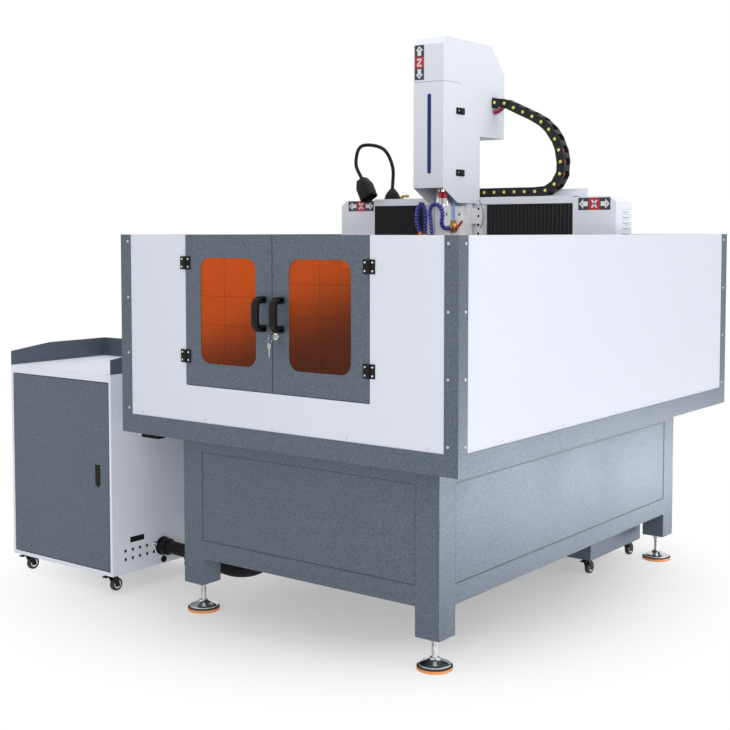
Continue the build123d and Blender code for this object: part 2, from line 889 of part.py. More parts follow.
# Saddle and vertical slide
def x_saddle():
    casting = block(-saddle_half, saddle_half, saddle_front, saddle_back, saddle_bottom, saddle_top)
    spine_half = tower_half - sheet
    casting += block(-spine_half, spine_half, saddle_front, saddle_front + spine_thickness,
                     saddle_top, spine_top)
    shelf = spine_top - bracket_thickness
    bracket_half = spine_half - sheet
    casting += block(-bracket_half, bracket_half, saddle_front - bracket_reach, saddle_front,
                     shelf, spine_top)
    casting -= rod_z(0, z_screw_y, shelf - overrun, spine_top + overrun, z_screw_journal + clearance)
    solids = [casting]
    for z in x_way_heights:
        groove = x_way_width / 2 + clearance
        groove_y = beam_front - x_way_depth - clearance
        for side in (-1, 1):
            x = side * x_carriage_offset
            half = x_carriage_length / 2
            body = block(x - half, x + half, saddle_back, saddle_back + x_carriage_depth,
                         z - x_carriage_width / 2, z + x_carriage_width / 2)
            slot = block(x - half - overrun, x + half + overrun, groove_y, beam_front, z - groove, z + groove)
            solids.append(body - slot)
    nut = block(-x_nut_length / 2, x_nut_length / 2, saddle_back, beam_front - seam,
                x_screw_z - x_nut_height / 2, x_screw_z + x_nut_height / 2)
    solids.append(nut - rod_x(x_screw_y, x_screw_z, -x_nut_length, x_nut_length, x_screw_radius + clearance))
    groove = z_way_width / 2 + clearance
    groove_y = slide_back + z_way_depth + clearance
    for z in z_carriage_bottoms:
        for side in (-1, 1):
            x = side * z_way_x
            half = z_carriage_width / 2
            top = z + z_carriage_height
            body = block(x - half, x + half, saddle_front - z_carriage_depth, saddle_front, z, top)
            slot = block(x - groove, x + groove, slide_back, groove_y, z - overrun, top + overrun)
            solids.append(body - slot)
    low_end = z_screw_bottom - z_bearing_height
    low_bearing = block(-z_bearing_half, z_bearing_half, saddle_front - z_carriage_depth, saddle_front,
                        low_end, z_screw_bottom - seam)
    bore = rod_z(0, z_screw_y, low_end - overrun, z_screw_bottom, z_screw_journal + clearance)
    solids.append(low_bearing - bore)
    return solids


def z_plate():
    solids = [block(-slide_half, slide_half, slide_front, slide_back, slide_bottom, slide_top)]
    for side in (-1, 1):
        x = side * z_way_x
        solids.append(block(x - z_way_width / 2, x + z_way_width / 2, slide_back, slide_back + z_way_depth,
                            slide_bottom + z_way_margin, slide_top - z_way_margin))
    nut_top = slide_top - z_nut_drop / 2
    nut = block(-z_nut_half, z_nut_half, slide_back, saddle_front - seam, nut_top - z_nut_height, nut_top)
    solids.append(nut - rod_z(0, z_screw_y, slide_bottom, slide_top, z_screw_radius + clearance))
    clamp = block(-clamp_half, clamp_half, clamp_front, slide_front, clamp_bottom, clamp_top)
    bore_low, bore_high = clamp_bottom - overrun, clamp_top + overrun
    clamp -= rod_z(0, spindle_y, bore_low, bore_high, spindle_radius + clearance)
    clamp -= block(-clamp_slit / 2, clamp_slit / 2, clamp_front - overrun, spindle_y, bore_low, bore_high)
    head = clamp_half - clamp_bolt_depth
    for y in clamp_bolt_ys:
        clamp -= rod_x(y, clamp_bolt_z, head, clamp_half + overrun, clamp_bolt_radius)
    solids.append(clamp)
    return solids


def z_ball_screw():
    shelf = spine_top - bracket_thickness
    screw = rod_z(0, z_screw_y, z_screw_bottom, shelf - seam, z_screw_radius)
    return screw + rod_z(0, z_screw_y, z_screw_bottom - z_bearing_height + seam, spine_top, z_screw_journal)


def z_motor():
    return Pos(0, z_screw_y, spine_top) * motor(z_motor_size, z_motor_height)


# Tower covers
def tower_cover():
    top_front = tower_front + tower_front_bevel_y
    top_rear = tower_rear - tower_rear_bevel_y
    front_low, rear_low = tower_top - tower_front_bevel_z, tower_top - tower_rear_bevel_z
    outline = [(tower_front, tower_split_z), (tower_front, front_low), (top_front, tower_top),
               (top_rear, tower_top), (tower_rear, rear_low), (tower_rear, tower_rear_bottom),
               (tower_back, tower_rear_bottom), (tower_back, tower_bottom), (tower_split_y, tower_bottom),
               (tower_split_y, tower_split_z)]
    inset = sheet / 2
    front, rear = tower_front + sheet, tower_rear - sheet
    back, below, step = tower_back + overrun, tower_bottom - overrun, tower_split_y - overrun
    hollow = [(front, tower_split_z - overrun), (front, front_low - inset),
              (top_front + inset, tower_top - sheet), (top_rear - inset, tower_top - sheet),
              (rear, rear_low - inset), (rear, tower_rear_bottom + sheet),
              (tower_back, tower_rear_bottom + sheet), (back, tower_rear_bottom), (back, below),
              (step, below), (step, tower_split_z - overrun)]
    inner = tower_half - sheet
    return prism_x(outline, -tower_half, tower_half) - prism_x(hollow, -inner, inner)


def tower_front_cover():
    back, top = tower_split_y, tower_split_z - seam
    outline = [(tower_front, tower_front_bottom), (tower_slope_y, tower_bottom), (back, tower_bottom),
               (back, top), (tower_front, top)]
    hollow = [(tower_front + sheet, tower_bottom - overrun), (back + overrun, tower_bottom - overrun),
              (back + overrun, top + overrun), (tower_front + sheet, top + overrun)]
    inner = tower_half - sheet
    cover = prism_x(outline, -tower_half, tower_half) - prism_x(hollow, -inner, inner)
    slot_z = (strip_bottom + strip_top) / 2
    slot = rounded_slab(strip_x, slot_z, strip_width, strip_top - strip_bottom, strip_width / 2 - clearance,
                        tower_front - overrun, tower_front + overrun)
    return cover - slot


def level_strip():
    width = strip_width + 2 * strip_lap
    height = strip_top - strip_bottom + 2 * strip_lap
    return rounded_slab(strip_x, (strip_bottom + strip_top) / 2, width, height, width / 2 - clearance,
                        tower_front + sheet, tower_front + sheet + strip_pane)


# Spindle
def spindle_motor():
    nose_bottom = spindle_bottom - nose_length
    body = rod_z(0, spindle_y, spindle_bottom, spindle_top, spindle_radius)
    body += rod_z(0, spindle_y, nose_bottom, spindle_bottom, nose_radius)
    return body - rod_z(0, spindle_y, nose_bottom - overrun, spindle_bottom, shaft_radius + clearance)


def spindle_shaft():
    nut_top = collet_nut_bottom + collet_nut_height
    shaft = rod_z(0, spindle_y, nut_top, spindle_bottom - seam, shaft_radius)
    hexagon = extrude(RegularPolygon(collet_nut_radius, hex_sides), collet_nut_height)
    nut = Pos(0, spindle_y, collet_nut_bottom) * hexagon
    cone = Pos(0, spindle_y, collet_nut_bottom + collet_nut_height / 2) * Cone(
        collet_nut_radius - collet_taper, collet_nut_radius + overrun, collet_nut_height)
    bore_top = collet_nut_bottom + collet_depth
    bore = rod_z(0, spindle_y, collet_nut_bottom - overrun, bore_top, collet_bore)
    return shaft + (nut & cone) - bore


# Coolant on the clamp
def coolant_valve():
    x0, x1 = clamp_half, clamp_half + valve_depth
    top = valve_bottom + valve_height
    middle_x = (x0 + x1) / 2
    middle_y = (valve_front + valve_back) / 2
    middle_z = valve_bottom + valve_height / 2
    body = block(x0, x1, valve_front, valve_back, valve_bottom, top)
    body += rod_z(middle_x, middle_y, top, top + port_length, port_radius)
    body += rod_y(middle_x, middle_z, valve_front - port_length, valve_front, port_radius)
    body += rod_x(middle_y, middle_z, x1, x1 + lever_hub + lever_pin, lever_pin)
    feed = rod_z(middle_x, middle_y, top + port_length, feed_tube_top, feed_tube_radius)
    return [body, feed]


def valve_lever():
    x0 = clamp_half + valve_depth + clearance
    middle_y = (valve_front + valve_back) / 2
    middle_z = valve_bottom + valve_height / 2
    half = lever_width / 2
    hub = rod_x(0, 0, 0, lever_hub, lever_hub_radius)
    grip = block(lever_hub - lever_sheet, lever_hub, 0, lever_length, -half, half)
    lever = hub + grip - rod_x(0, 0, -overrun, lever_hub + overrun, lever_pin + clearance)
    return Pos(x0, middle_y, middle_z) * Rot(lever_tilt, 0, 0) * lever


def hose(points):
    return tube(points, bend_radii(points), hose_radius)


def nozzle(points):
    # drawn along +z, then set in line with the last run of its hose
    tip = Pos(0, 0, nozzle_length / 2) * Cone(hose_radius, nozzle_tip_radius, nozzle_length)
    tip -= rod_z(0, 0, seam, nozzle_length + overrun, nozzle_tip_radius / 2)
    end = Vector(*points[-1])
    return Plane(origin=end, z_dir=end - Vector(*points[-2])).location * tip


def coolant_hoses():
    middle_x = clamp_half + valve_depth / 2
    port_y = valve_front - port_length
    port_z = valve_bottom + valve_height / 2
    knee = (middle_x, (port_y + outlet_hose_y) / 2 - hose_radius, port_z)
    outlet = [(middle_x, port_y, port_z), knee] + [(x, outlet_hose_y, z) for x, z in outlet_hose_points]
    loop = [(x, loop_hose_y, z) for x, z in loop_hose_points]
    loop_x, loop_z = loop_hose_points[0]
    fitting = block(loop_x - hose_fitting, loop_x + hose_fitting, loop_hose_y - hose_fitting, clamp_front,
                    loop_z - 2 * hose_fitting, loop_z)
    return [hose(outlet), hose(loop), fitting, nozzle(outlet), nozzle(loop)]


# Cable chain
def chain_path():
    y = chain_front + chain_width / 2
    end_x = tower_half + chain_bracket_sheet + chain_nose
    corners = [(chain_start, y, chain_low), (chain_right, y, chain_low), (chain_right, y, chain_knee_z),
               (chain_knee_x, y, chain_end_z), (end_x, y, chain_end_z)]
    return FilletPolyline(*corners, radius=bend_radii(corners, chain_bend_shares))


def chain_link(step, pitch):
    # drawn along +x about the middle of the link, side plates overlapping those of the next link
    half_h = chain_height / 2
    nose = chain_nose
    back, front = -pitch / 2, pitch / 2 + nose
    plate = [(back, -half_h), (front - nose, -half_h), (front, -half_h + nose), (front, half_h - nose),
             (front - nose, half_h), (back, half_h)]
    shift = step * chain_plate
    half_w_link = chain_width / 2 - shift
    link = prism_y(plate, -half_w_link, -half_w_link + chain_plate)
    link += prism_y(plate, half_w_link - chain_plate, half_w_link)
    bar = pitch * chain_bar_share / 2
    inner = half_w_link - chain_plate
    for side in (-1, 1):
        z = side * half_h
        link += block(-bar, bar, -inner, inner, z, z - side * chain_bar_sheet)
    return link


def drag_chain():
    path = chain_path()
    count = int(path.length / chain_pitch)
    links = [chain_link(step, path.length / count) for step in (0, 1)]
    solids = []
    for i in range(count):
        place = (i + 1 / 2) / count
        spot = path @ place
        along = path % place
        frame = Plane(origin=spot, x_dir=along, z_dir=along.cross(Vector(0, 1, 0)))
        solids.append(frame.location * links[i % 2])
    y = chain_front + chain_width / 2
    half = chain_bracket / 2
    solids.append(block(tower_half, tower_half + chain_bracket_sheet, y - half, y + half,
                        chain_end_z - half, chain_end_z + half))
    solids.append(block(chain_start, chain_start + chain_bracket, chain_front, chain_front + chain_width,
                        cover_top, cover_top + chain_lift))
    return solids


# Work lamp
def work_lamp():
    base_top = cover_top + lamp_base_height
    base = Cone(lamp_base_radius, lamp_base_top_radius, lamp_base_height)
    base = Pos(lamp_x, lamp_y, cover_top + lamp_base_height / 2) * base
    points = [(lamp_x, lamp_y, base_top)] + list(lamp_neck_points)
    neck = tube(points, bend_radii(points), lamp_neck_radius)
    shoulder = -lamp_head_height * lamp_head_shoulder_share
    half_top, half = lamp_head_top / 2, lamp_head_width / 2
    outline = [(-half_top, 0), (half_top, 0), (half, shoulder), (half, -lamp_head_height),
               (-half, -lamp_head_height), (-half, shoulder)]
    head = prism_y(outline, -lamp_head_depth / 2, lamp_head_depth / 2)
    head -= block(-half_top, half_top, -lamp_head_depth / 3, lamp_head_depth / 3,
                  -lamp_head_height - overrun, -lamp_head_height + overrun)
    up = Vector(*points[-2]) - Vector(*points[-1])
    frame = Plane(origin=points[-1], x_dir=Vector(0, 1, 0).cross(up), z_dir=up)
    return [base, neck, frame.location * head]


# Control cabinet
def cabinet_body():
    body = block(cabinet_left, cabinet_right, cabinet_front, cabinet_rear, cabinet_bottom, cabinet_top)
    body -= block(cabinet_left + sheet, cabinet_right - sheet, cabinet_front + sheet, cabinet_rear - sheet,
                  cabinet_bottom + sheet, cabinet_top - sheet)
    low, high = cabinet_bottom + cabinet_frame_low, cabinet_top - cabinet_frame_high
    body -= block(cabinet_left + cabinet_frame, cabinet_right - cabinet_frame, cabinet_front - overrun,
                  cabinet_front + overrun, low, high)
    x0, x1 = cabinet_right - overrun, cabinet_right + overrun
    body -= block(x0, x1, vent_front, vent_front + vent_length, vent_z, vent_z + vent_height)
    for z in vent_hole_rows:
        for i in range(vent_hole_count):
            body -= rod_x(vent_hole_front + i * vent_hole_pitch, z, x0, x1, vent_hole_radius)
    body -= rod_x(conduit_y, conduit_z, x0, x1, conduit_radius)
    lug = pivot_inset + pivot_radius
    for end, edge in ((-1, low), (1, high)):
        body += block(cabinet_left + sheet, pivot_x + lug, cabinet_front, pivot_y + lug,
                      edge, edge + end * sheet)
        body += rod_z(pivot_x, pivot_y, edge, edge - end * pivot_length, pivot_radius)
    return body


def cabinet_door():
    low = cabinet_bottom + cabinet_frame_low + cabinet_door_gap
    high = cabinet_top - cabinet_frame_high - cabinet_door_gap
    left = cabinet_left + cabinet_frame + cabinet_door_gap
    right = cabinet_right - cabinet_frame - cabinet_door_gap
    back = cabinet_front + cabinet_door_depth
    leaf = block(left, right, cabinet_front, back, low, high)
    leaf -= block(left + sheet, right - sheet, cabinet_front + sheet, back + overrun,
                  low + sheet, high - sheet)
    leaf -= rod_z(pivot_x, pivot_y, low - overrun, low + pivot_length, pivot_radius + clearance)
    leaf -= rod_z(pivot_x, pivot_y, high - pivot_length, high + overrun, pivot_radius + clearance)
    return leaf - latch_form(latch_gap, cabinet_front - overrun, cabinet_front + overrun)


def latch_form(margin, y0, y1):
    half = latch_width / 2 + margin
    top = latch_bottom + latch_height + margin
    left, right = latch_x - half, latch_x + half
    shoulder = latch_bottom + latch_point
    outline = [(left, top), (left, shoulder), (latch_x, latch_bottom - margin), (right, shoulder),
               (right, top)]
    return prism_y(outline, y0, y1)


def cabinet_latch():
    lever = latch_form(0, cabinet_front, cabinet_front + latch_sheet)
    half = latch_width / 2 + latch_gap + latch_pin_lap
    z = latch_bottom + latch_height - latch_pin - latch_gap
    return lever + rod_x(latch_pin_y(), z, latch_x - half, latch_x + half, latch_pin)


def latch_pin_y():
    return cabinet_front + sheet + clearance + latch_pin


def cabinet_rim():
    top, front_top, high = cabinet_top, cabinet_top + rim_front_height, cabinet_top + rim_height
    outline = [(cabinet_front, top), (cabinet_rear, top), (cabinet_rear, high),
               (cabinet_front + rim_slope, high), (cabinet_front, front_top)]
    rim = prism_x(outline, cabinet_left, cabinet_right)
    return rim - block(cabinet_left + sheet, cabinet_right - sheet, cabinet_front - overrun,
                       cabinet_rear - sheet, top - overrun, high + overrun)


def control_plate():
    face = cabinet_rear - sheet - plate_standoff
    left, right = cabinet_left + plate_inset, cabinet_right - plate_inset
    low, high = cabinet_bottom + plate_inset, cabinet_top - plate_inset
    plate = block(left, right, face - plate_sheet, face, low, high)
    for x in (left, right - plate_standoff):
        plate += block(x, x + plate_standoff, face, cabinet_rear - sheet, low, high)
    solids = [plate]
    mount = face - plate_sheet
    pitch = (right - left) / drive_count
    for i in range(drive_count):
        x = left + (i + 1 / 2) * pitch
        solids.append(block(x - drive_width / 2, x + drive_width / 2, mount - drive_depth, mount,
                            drive_z, drive_z + drive_height))
    middle = (left + right) / 2
    solids.append(block(middle - supply_width / 2, middle + supply_width / 2, mount - supply_depth, mount,
                        supply_z, supply_z + supply_height))
    return solids


# Casters
def caster(x, y, top):
    plate_half = caster_plate_size / 2
    plate_low = top - caster_plate_sheet
    race_low = plate_low - caster_race
    plate = block(x - plate_half, x + plate_half, y - plate_half, y + plate_half, plate_low, top)
    inner = caster_wheel_width / 2 + seam
    outer = inner + caster_fork_sheet
    axle_y = y + caster_trail
    axle_z = caster_wheel_radius
    fork = rod_z(x, y, race_low, plate_low - clearance, caster_race_radius)
    crown_low = race_low - caster_fork_sheet
    fork += block(x - outer, x + outer, y - caster_fork_half, y + caster_fork_half, crown_low, race_low)
    boss_front, boss_rear = axle_y - caster_axle_boss, axle_y + caster_axle_boss
    boss_low = axle_z - caster_axle_boss
    cheek = [(y - caster_fork_half, race_low), (y - caster_fork_half, race_low - caster_race),
             (boss_front, boss_low), (boss_rear, boss_low), (boss_rear, axle_z),
             (y + caster_fork_half, race_low)]
    fork += prism_x(cheek, x - outer, x - inner)
    fork += prism_x(cheek, x + inner, x + outer)
    fork += rod_x(axle_y, axle_z, x - outer, x + outer, caster_axle_radius)
    pedal_y = y - caster_fork_half
    half = caster_pedal_width / 2
    fork += block(x - half, x + half, pedal_y - caster_pedal_length, pedal_y,
                  crown_low, crown_low + caster_pedal_sheet)
    half = caster_wheel_width / 2
    tyre = rod_x(axle_y, axle_z, x - half, x + half, caster_wheel_radius)
    tyre = fillet(tyre.edges(), caster_tread_round)
    tyre -= rod_x(axle_y, axle_z, x - half - overrun, x + half + overrun, caster_axle_radius + clearance)
    return plate, fork, tyre


def cabinet_caster_places():
    xs = (("left", cabinet_left + caster_inset_x), ("right", cabinet_right - caster_inset_x))
    ys = (("front", cabinet_front + caster_inset_y), ("rear", cabinet_rear - caster_inset_y - caster_trail))
    return {f"{yn}_{xn}": (x, y) for yn, y in ys for xn, x in xs}


# Conduit
def conduit_route():
    start = (cabinet_right + gland_length, conduit_y, conduit_z)
    end = (conduit_far_x, conduit_y, tray_bottom - conduit_far_gland)
    return [start] + [(x, conduit_y, z) for x, z in conduit_points] + [end]


def conduit_glands():
    near = rod_x(conduit_y, conduit_z, cabinet_right, cabinet_right + gland_length, gland_radius)
    near += rod_x(conduit_y, conduit_z, cabinet_right, cabinet_right + gland_flange, gland_flange_radius)
    far_low = tray_bottom - conduit_far_gland
    far = rod_z(conduit_far_x, conduit_y, far_low, tray_bottom, gland_radius)
    far += rod_z(conduit_far_x, conduit_y, tray_bottom - gland_flange, tray_bottom, gland_flange_radius)
    return [near, far]


def conduit():
    route = conduit_route()
    radii = bend_radii(route)
    print("conduit radii", [round(r) for r in radii])
    hose_body = tube(route, radii, conduit_radius)
    path = FilletPolyline(*route, radius=radii)
    straight = pi * conduit_radius ** 2 * path.length
    print("conduit length", round(path.length), "volume share", hose_body.volume / straight)
    return hose_body


# Coolant tank
def coolant_tank():
    left, rear, top = tank_right - tank_width, tank_front + tank_depth, tank_bottom + tank_height
    tank = block(left, tank_right, tank_front, rear, tank_bottom, top)
    tank -= block(left + tank_sheet, tank_right - tank_sheet, tank_front + tank_sheet, rear - tank_sheet,
                  tank_bottom + tank_sheet, top + overrun)
    lip = block(left, tank_right, tank_front, rear, top - tank_sheet, top)
    lip -= block(left + tank_lip, tank_right - tank_lip, tank_front + tank_lip, rear - tank_lip,
                 top - tank_sheet - overrun, top + overrun)
    return tank + lip


def tank_casters():
    left, rear = tank_right - tank_width, tank_front + tank_depth
    solids = []
    for x in (left + tank_caster_inset_x, tank_right - tank_caster_inset_x):
        for y in (tank_front + tank_caster_inset_y, rear - tank_caster_inset_y - caster_trail):
            solids += caster(x, y, tank_bottom)
    return solids


os.makedirs("parts", exist_ok=True)

put("base_frame", *base_frame())
put("foot_pads", *foot_pads())
put("levelling_feet", *levelling_feet())
put("drip_tray", drip_tray())
put("corner_posts", *corner_posts())
put("front_panel", front_panel())
put("side_panels", *side_panels())
put("rear_panel", rear_panel())
put("hinge_leaves", *hinge_leaves())

left_leaf, left_pane = door(-1)
right_leaf, right_pane = right_door_leaf()
put("left_door", left_leaf)
put("left_window", left_pane)
put("left_fittings", *door_fittings(-1))
put("right_door", right_leaf)
put("right_window", right_pane)
put("right_fittings", *door_fittings(1), lock_barrel())
put("door_key", door_key())

put("machine_bed", machine_bed())
put("linear_rails", *linear_rails())
put("work_table", *work_table())
put("y_ball_screw", y_ball_screw())
put("feed_motors", *feed_motors())
put("way_cover_front", way_cover(-1))
put("way_cover_rear", way_cover(1))

put("gantry_portal", *gantry_portal())
put("x_ball_screw", x_ball_screw())
put("beam_covers", top_cover(), end_housing(-1), end_housing(1))
put("bellows_left", bellows(-1))
put("bellows_right", bellows(1))
put("work_lamp", *work_lamp())
put("drag_chain", *drag_chain())

put("x_saddle", *x_saddle())
put("z_motor", z_motor())
put("z_ball_screw", z_ball_screw())
put("tower_cover", tower_cover())
put("tower_front_cover", tower_front_cover())
put("level_strip", level_strip())
put("z_plate", *z_plate())
put("spindle_motor", spindle_motor())
put("spindle_shaft", spindle_shaft())
put("coolant_valve", *coolant_valve())
put("valve_lever", valve_lever())
put("coolant_hoses", *coolant_hoses())

put("cabinet_body", cabinet_body())
put("cabinet_rim", cabinet_rim())
put("cabinet_door", cabinet_door())
put("cabinet_latch", cabinet_latch())
put("control_plate", *control_plate())
plates = []
for place, (x, y) in cabinet_caster_places().items():
    plate, fork, wheel = caster(x, y, cabinet_bottom)
    plates.append(plate)
    put(f"caster_fork_{place}", fork)
    put(f"caster_wheel_{place}", wheel)
put("caster_plates", *plates)
put("conduit_glands", *conduit_glands())
put("conduit", conduit())
put("coolant_tank", coolant_tank())
put("tank_casters", *tank_casters())
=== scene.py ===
import math

import bpy
import bmesh
from mathutils import Matrix, Vector


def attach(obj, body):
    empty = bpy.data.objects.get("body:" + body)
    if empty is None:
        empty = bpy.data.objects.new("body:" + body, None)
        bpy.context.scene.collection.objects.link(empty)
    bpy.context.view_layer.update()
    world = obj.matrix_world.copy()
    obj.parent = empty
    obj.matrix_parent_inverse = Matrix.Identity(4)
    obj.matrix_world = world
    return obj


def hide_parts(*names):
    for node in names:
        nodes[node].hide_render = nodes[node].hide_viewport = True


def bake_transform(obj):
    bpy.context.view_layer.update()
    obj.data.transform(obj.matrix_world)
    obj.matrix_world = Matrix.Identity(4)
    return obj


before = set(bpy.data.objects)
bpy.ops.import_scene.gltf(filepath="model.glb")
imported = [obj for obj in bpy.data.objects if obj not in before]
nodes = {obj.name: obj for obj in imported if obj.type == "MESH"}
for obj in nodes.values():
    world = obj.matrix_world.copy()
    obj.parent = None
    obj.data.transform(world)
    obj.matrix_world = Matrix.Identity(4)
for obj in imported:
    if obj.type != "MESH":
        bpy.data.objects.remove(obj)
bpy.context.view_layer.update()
scene = bpy.context.scene
skins = {}  # every material by its name

# sizes below are millimetres from the machine's own middle
# those of the camera, finishes, conduit line, floor and lamps are metres in the frame
middle = {"x": 385.0, "y": 23.0}
closed = 0.01  # radius that closes the end of a turned form
sunk = 0.2  # how far a small disc goes into what carries it
weld = 1e-6  # metres within which doubled points are joined
shortest = 1e-9  # keeps a division off zero


def spot(x, y, z):
    return Vector(((x + middle["x"]) / 1000, (y + middle["y"]) / 1000, z / 1000))


def benchPoint(point):
    # the other way, from the frame's metres
    return point.x * 1000 - middle["x"], point.y * 1000 - middle["y"], point.z * 1000


# camera
cameraView = {"place": (3.015, -3.937, 1.36), "yaw": 37.4, "pitch": 3.3, "focalPixels": 1238.0,
              "picture": 730.0, "axisRow": 303.0, "sensor": 36.0}


def addCamera(look):
    data = bpy.data.cameras.new("photoCamera")
    data.sensor_width = look["sensor"]
    data.lens = look["sensor"] * look["focalPixels"] / look["picture"]
    data.shift_y = (look["axisRow"] - look["picture"] / 2) / look["picture"]
    camera = bpy.data.objects.new("photoCamera", data)
    yaw, pitch = math.radians(look["yaw"]), math.radians(look["pitch"])
    ahead = Vector((-math.sin(yaw) * math.cos(pitch), math.cos(yaw) * math.cos(pitch), -math.sin(pitch)))
    camera.location = look["place"]
    camera.rotation_euler = ahead.to_track_quat("-Z", "Y").to_euler()
    scene.collection.objects.link(camera)
    scene.camera = camera


addCamera(cameraView)
print("camera set")


# mesh helpers
def circle(sides):
    return [2 * math.pi * k / sides for k in range(sides)]


def ringFaces(rows, sides):
    # quads between rows of points round a closed section, then a cap at each end
    faces = []
    for row in range(rows - 1):
        for i in range(sides):
            j = (i + 1) % sides
            faces.append((row * sides + i, row * sides + j, (row + 1) * sides + j, (row + 1) * sides + i))
    return faces + [tuple(reversed(range(sides))), tuple(range((rows - 1) * sides, rows * sides))]


def ringRows(path, radii, sides, section=None, sideways=None):
    # rings square to the path, carried along it without twist; a section is an outline for radius 1
    path = [Vector(p) for p in path]
    radii = radii if hasattr(radii, "__len__") else [radii] * len(path)
    tangents = []
    for i in range(len(path)):
        ahead = path[min(i + 1, len(path) - 1)] - path[max(i - 1, 0)]
        tangents.append(ahead.normalized())
    side = Vector(sideways) if sideways else tangents[0].orthogonal().normalized()
    section = section or [(math.cos(a), math.sin(a)) for a in circle(sides)]
    rows = []
    for p, t, radius in zip(path, tangents, radii):
        side = (side - t * side.dot(t)).normalized()
        up = t.cross(side)
        rows.append([p + (side * a + up * b) * radius for a, b in section])
    return rows


def aimed(origin, axis, sideways=None):
    # a frame at origin whose z runs along axis
    z = Vector(axis).normalized()
    x = Vector(sideways) if sideways else z.orthogonal()
    x = (x - z * x.dot(z)).normalized()
    turn = Matrix((x, z.cross(x), z)).transposed().to_4x4()
    return Matrix.Translation(Vector(origin)) @ turn


# every form is a list of points, a list of faces and the number of each face's skin
class Form:
    def __init__(self):
        self.points, self.faces, self.skins = [], [], []

    def add(self, points, faces, skin=0, place=None):
        start = len(self.points)
        self.points += [place @ Vector(p) if place else Vector(p) for p in points]
        self.faces += [tuple(start + i for i in face) for face in faces]
        self.skins += [skin] * len(faces)
        return self

    def box(self, low, high, soft=0.0, skin=0, place=None):
        mesh = bmesh.new()
        bmesh.ops.create_cube(mesh, size=1)
        size = [b - a for a, b in zip(low, high)]
        mid = [(a + b) / 2 for a, b in zip(low, high)]
        for v in mesh.verts:
            v.co = Vector([c * s + m for c, s, m in zip(v.co, size, mid)])
        if soft:
            bmesh.ops.bevel(mesh, geom=mesh.edges[:], offset=soft, segments=2, affect="EDGES", profile=0.5)
        mesh.verts.index_update()
        points = [v.co.copy() for v in mesh.verts]
        faces = [[v.index for v in f.verts] for f in mesh.faces]
        mesh.free()
        return self.add(points, faces, skin, place)

    def boxAt(self, origin, corners, soft=0.0, skin=0):
        return self.box(*[[c + o for c, o in zip(corner, origin)] for corner in corners], soft, skin)

    def lathe(self, profile, sides=20, skin=0, place=None):
        # profile is (radius, height) from one end to the other, turned about z
        points = [(radius * math.cos(a), radius * math.sin(a), height) for radius, height in profile
                  for a in circle(sides)]
        return self.add(points, ringFaces(len(profile), sides), skin, place)

    def turned(self, origin, parts):
        # each part is a profile, its sides and skin, its shift from the origin and its axis
        for profile, sides, skin, shift, axis in parts:
            self.lathe(profile, sides, skin, aimed(Vector(origin) + Vector(shift), axis))
        return self

    def prism(self, outline, depth, skin=0, place=None):
        # an outline in x and y, turned counter-clockwise and thickened along z
        area = sum(x0 * y1 - x1 * y0 for (x0, y0), (x1, y1) in zip(outline, outline[1:] + outline[:1]))
        outline = outline if area > 0 else outline[::-1]
        n = len(outline)
        points = [(x, y, 0) for x, y in outline] + [(x, y, depth) for x, y in outline]
        faces = [tuple(reversed(range(n))), tuple(range(n, 2 * n))]
        faces += [(i, (i + 1) % n, n + (i + 1) % n, n + i) for i in range(n)]
        return self.add(points, faces, skin, place)

    def tube(self, path, radii, sides=12, skin=0, section=None, sideways=None):
        rows = ringRows(path, radii, sides, section, sideways)
        return self.add([p for row in rows for p in row], ringFaces(len(rows), len(rows[0])), skin)

    def piece(self, name, looks, body, slot, node=None, metres=False, sharp=35.0):
        # looks lists the materials in order of their numbers, node is the solid that the piece stands in for
        mesh = bpy.data.meshes.new(name)
        mesh.from_pydata(self.points if metres else [spot(*p) for p in self.points], [], self.faces)
        for look in looks.split():
            mesh.materials.append(skins[look])
        mesh.polygons.foreach_set("material_index", self.skins)
        mesh.polygons.foreach_set("use_smooth", [True] * len(self.faces))
        mesh.set_sharp_from_angle(angle=math.radians(sharp))
        mesh.validate()
        mesh.update()
        thing = bpy.data.objects.new(name, mesh)
        scene.collection.objects.link(thing)
        if body:
            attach(thing, body)
        if node:
            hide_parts(node)
        return thing


def smoothLine(points, steps=8):
    # a rounded line through the points
    points = [Vector(p) for p in points]
    ends = [points[0] * 2 - points[1]] + points + [points[-1] * 2 - points[-2]]
    line = []
    for a, b, c, d in zip(ends, ends[1:], ends[2:], ends[3:]):
        for k in range(steps):
            t = k / steps
            line.append(0.5 * (2 * b + (c - a) * t + (2 * a - 5 * b + 4 * c - d) * t * t
                               + (3 * b - a - 3 * c + d) * t ** 3))
    return line + [points[-1]]


def evenSteps(line, step):
    # points a given distance apart along a line
    lengths = [0.0]
    for a, b in zip(line, line[1:]):
        lengths.append(lengths[-1] + (b - a).length)
    count = max(2, round(lengths[-1] / step))
    found, k = [], 0
    for i in range(count + 1):
        want = lengths[-1] * i / count
        while k < len(line) - 2 and lengths[k + 1] < want:
            k += 1
        part = (want - lengths[k]) / max(lengths[k + 1] - lengths[k], shortest)
        found.append(line[k].lerp(line[k + 1], part))
    return found


def plainOutline(width, height):
    return [(x * width / 2, y * height / 2) for x, y in ((-1, -1), (1, -1), (1, 1), (-1, 1))]


def roundedOutline(width, height, radius, arc=6):
    outline = []
    for cx, cy, start in ((1, 1, 0), (-1, 1, 90), (-1, -1, 180), (1, -1, 270)):
        for k in range(arc + 1):
            a = math.radians(start + 90 * k / arc)
            outline.append((cx * (width / 2 - radius) + radius * math.cos(a),
                            cy * (height / 2 - radius) + radius * math.sin(a)))
    return outline


def disc(radius, height):
    return [(radius, -sunk), (radius, height), (closed, height)]


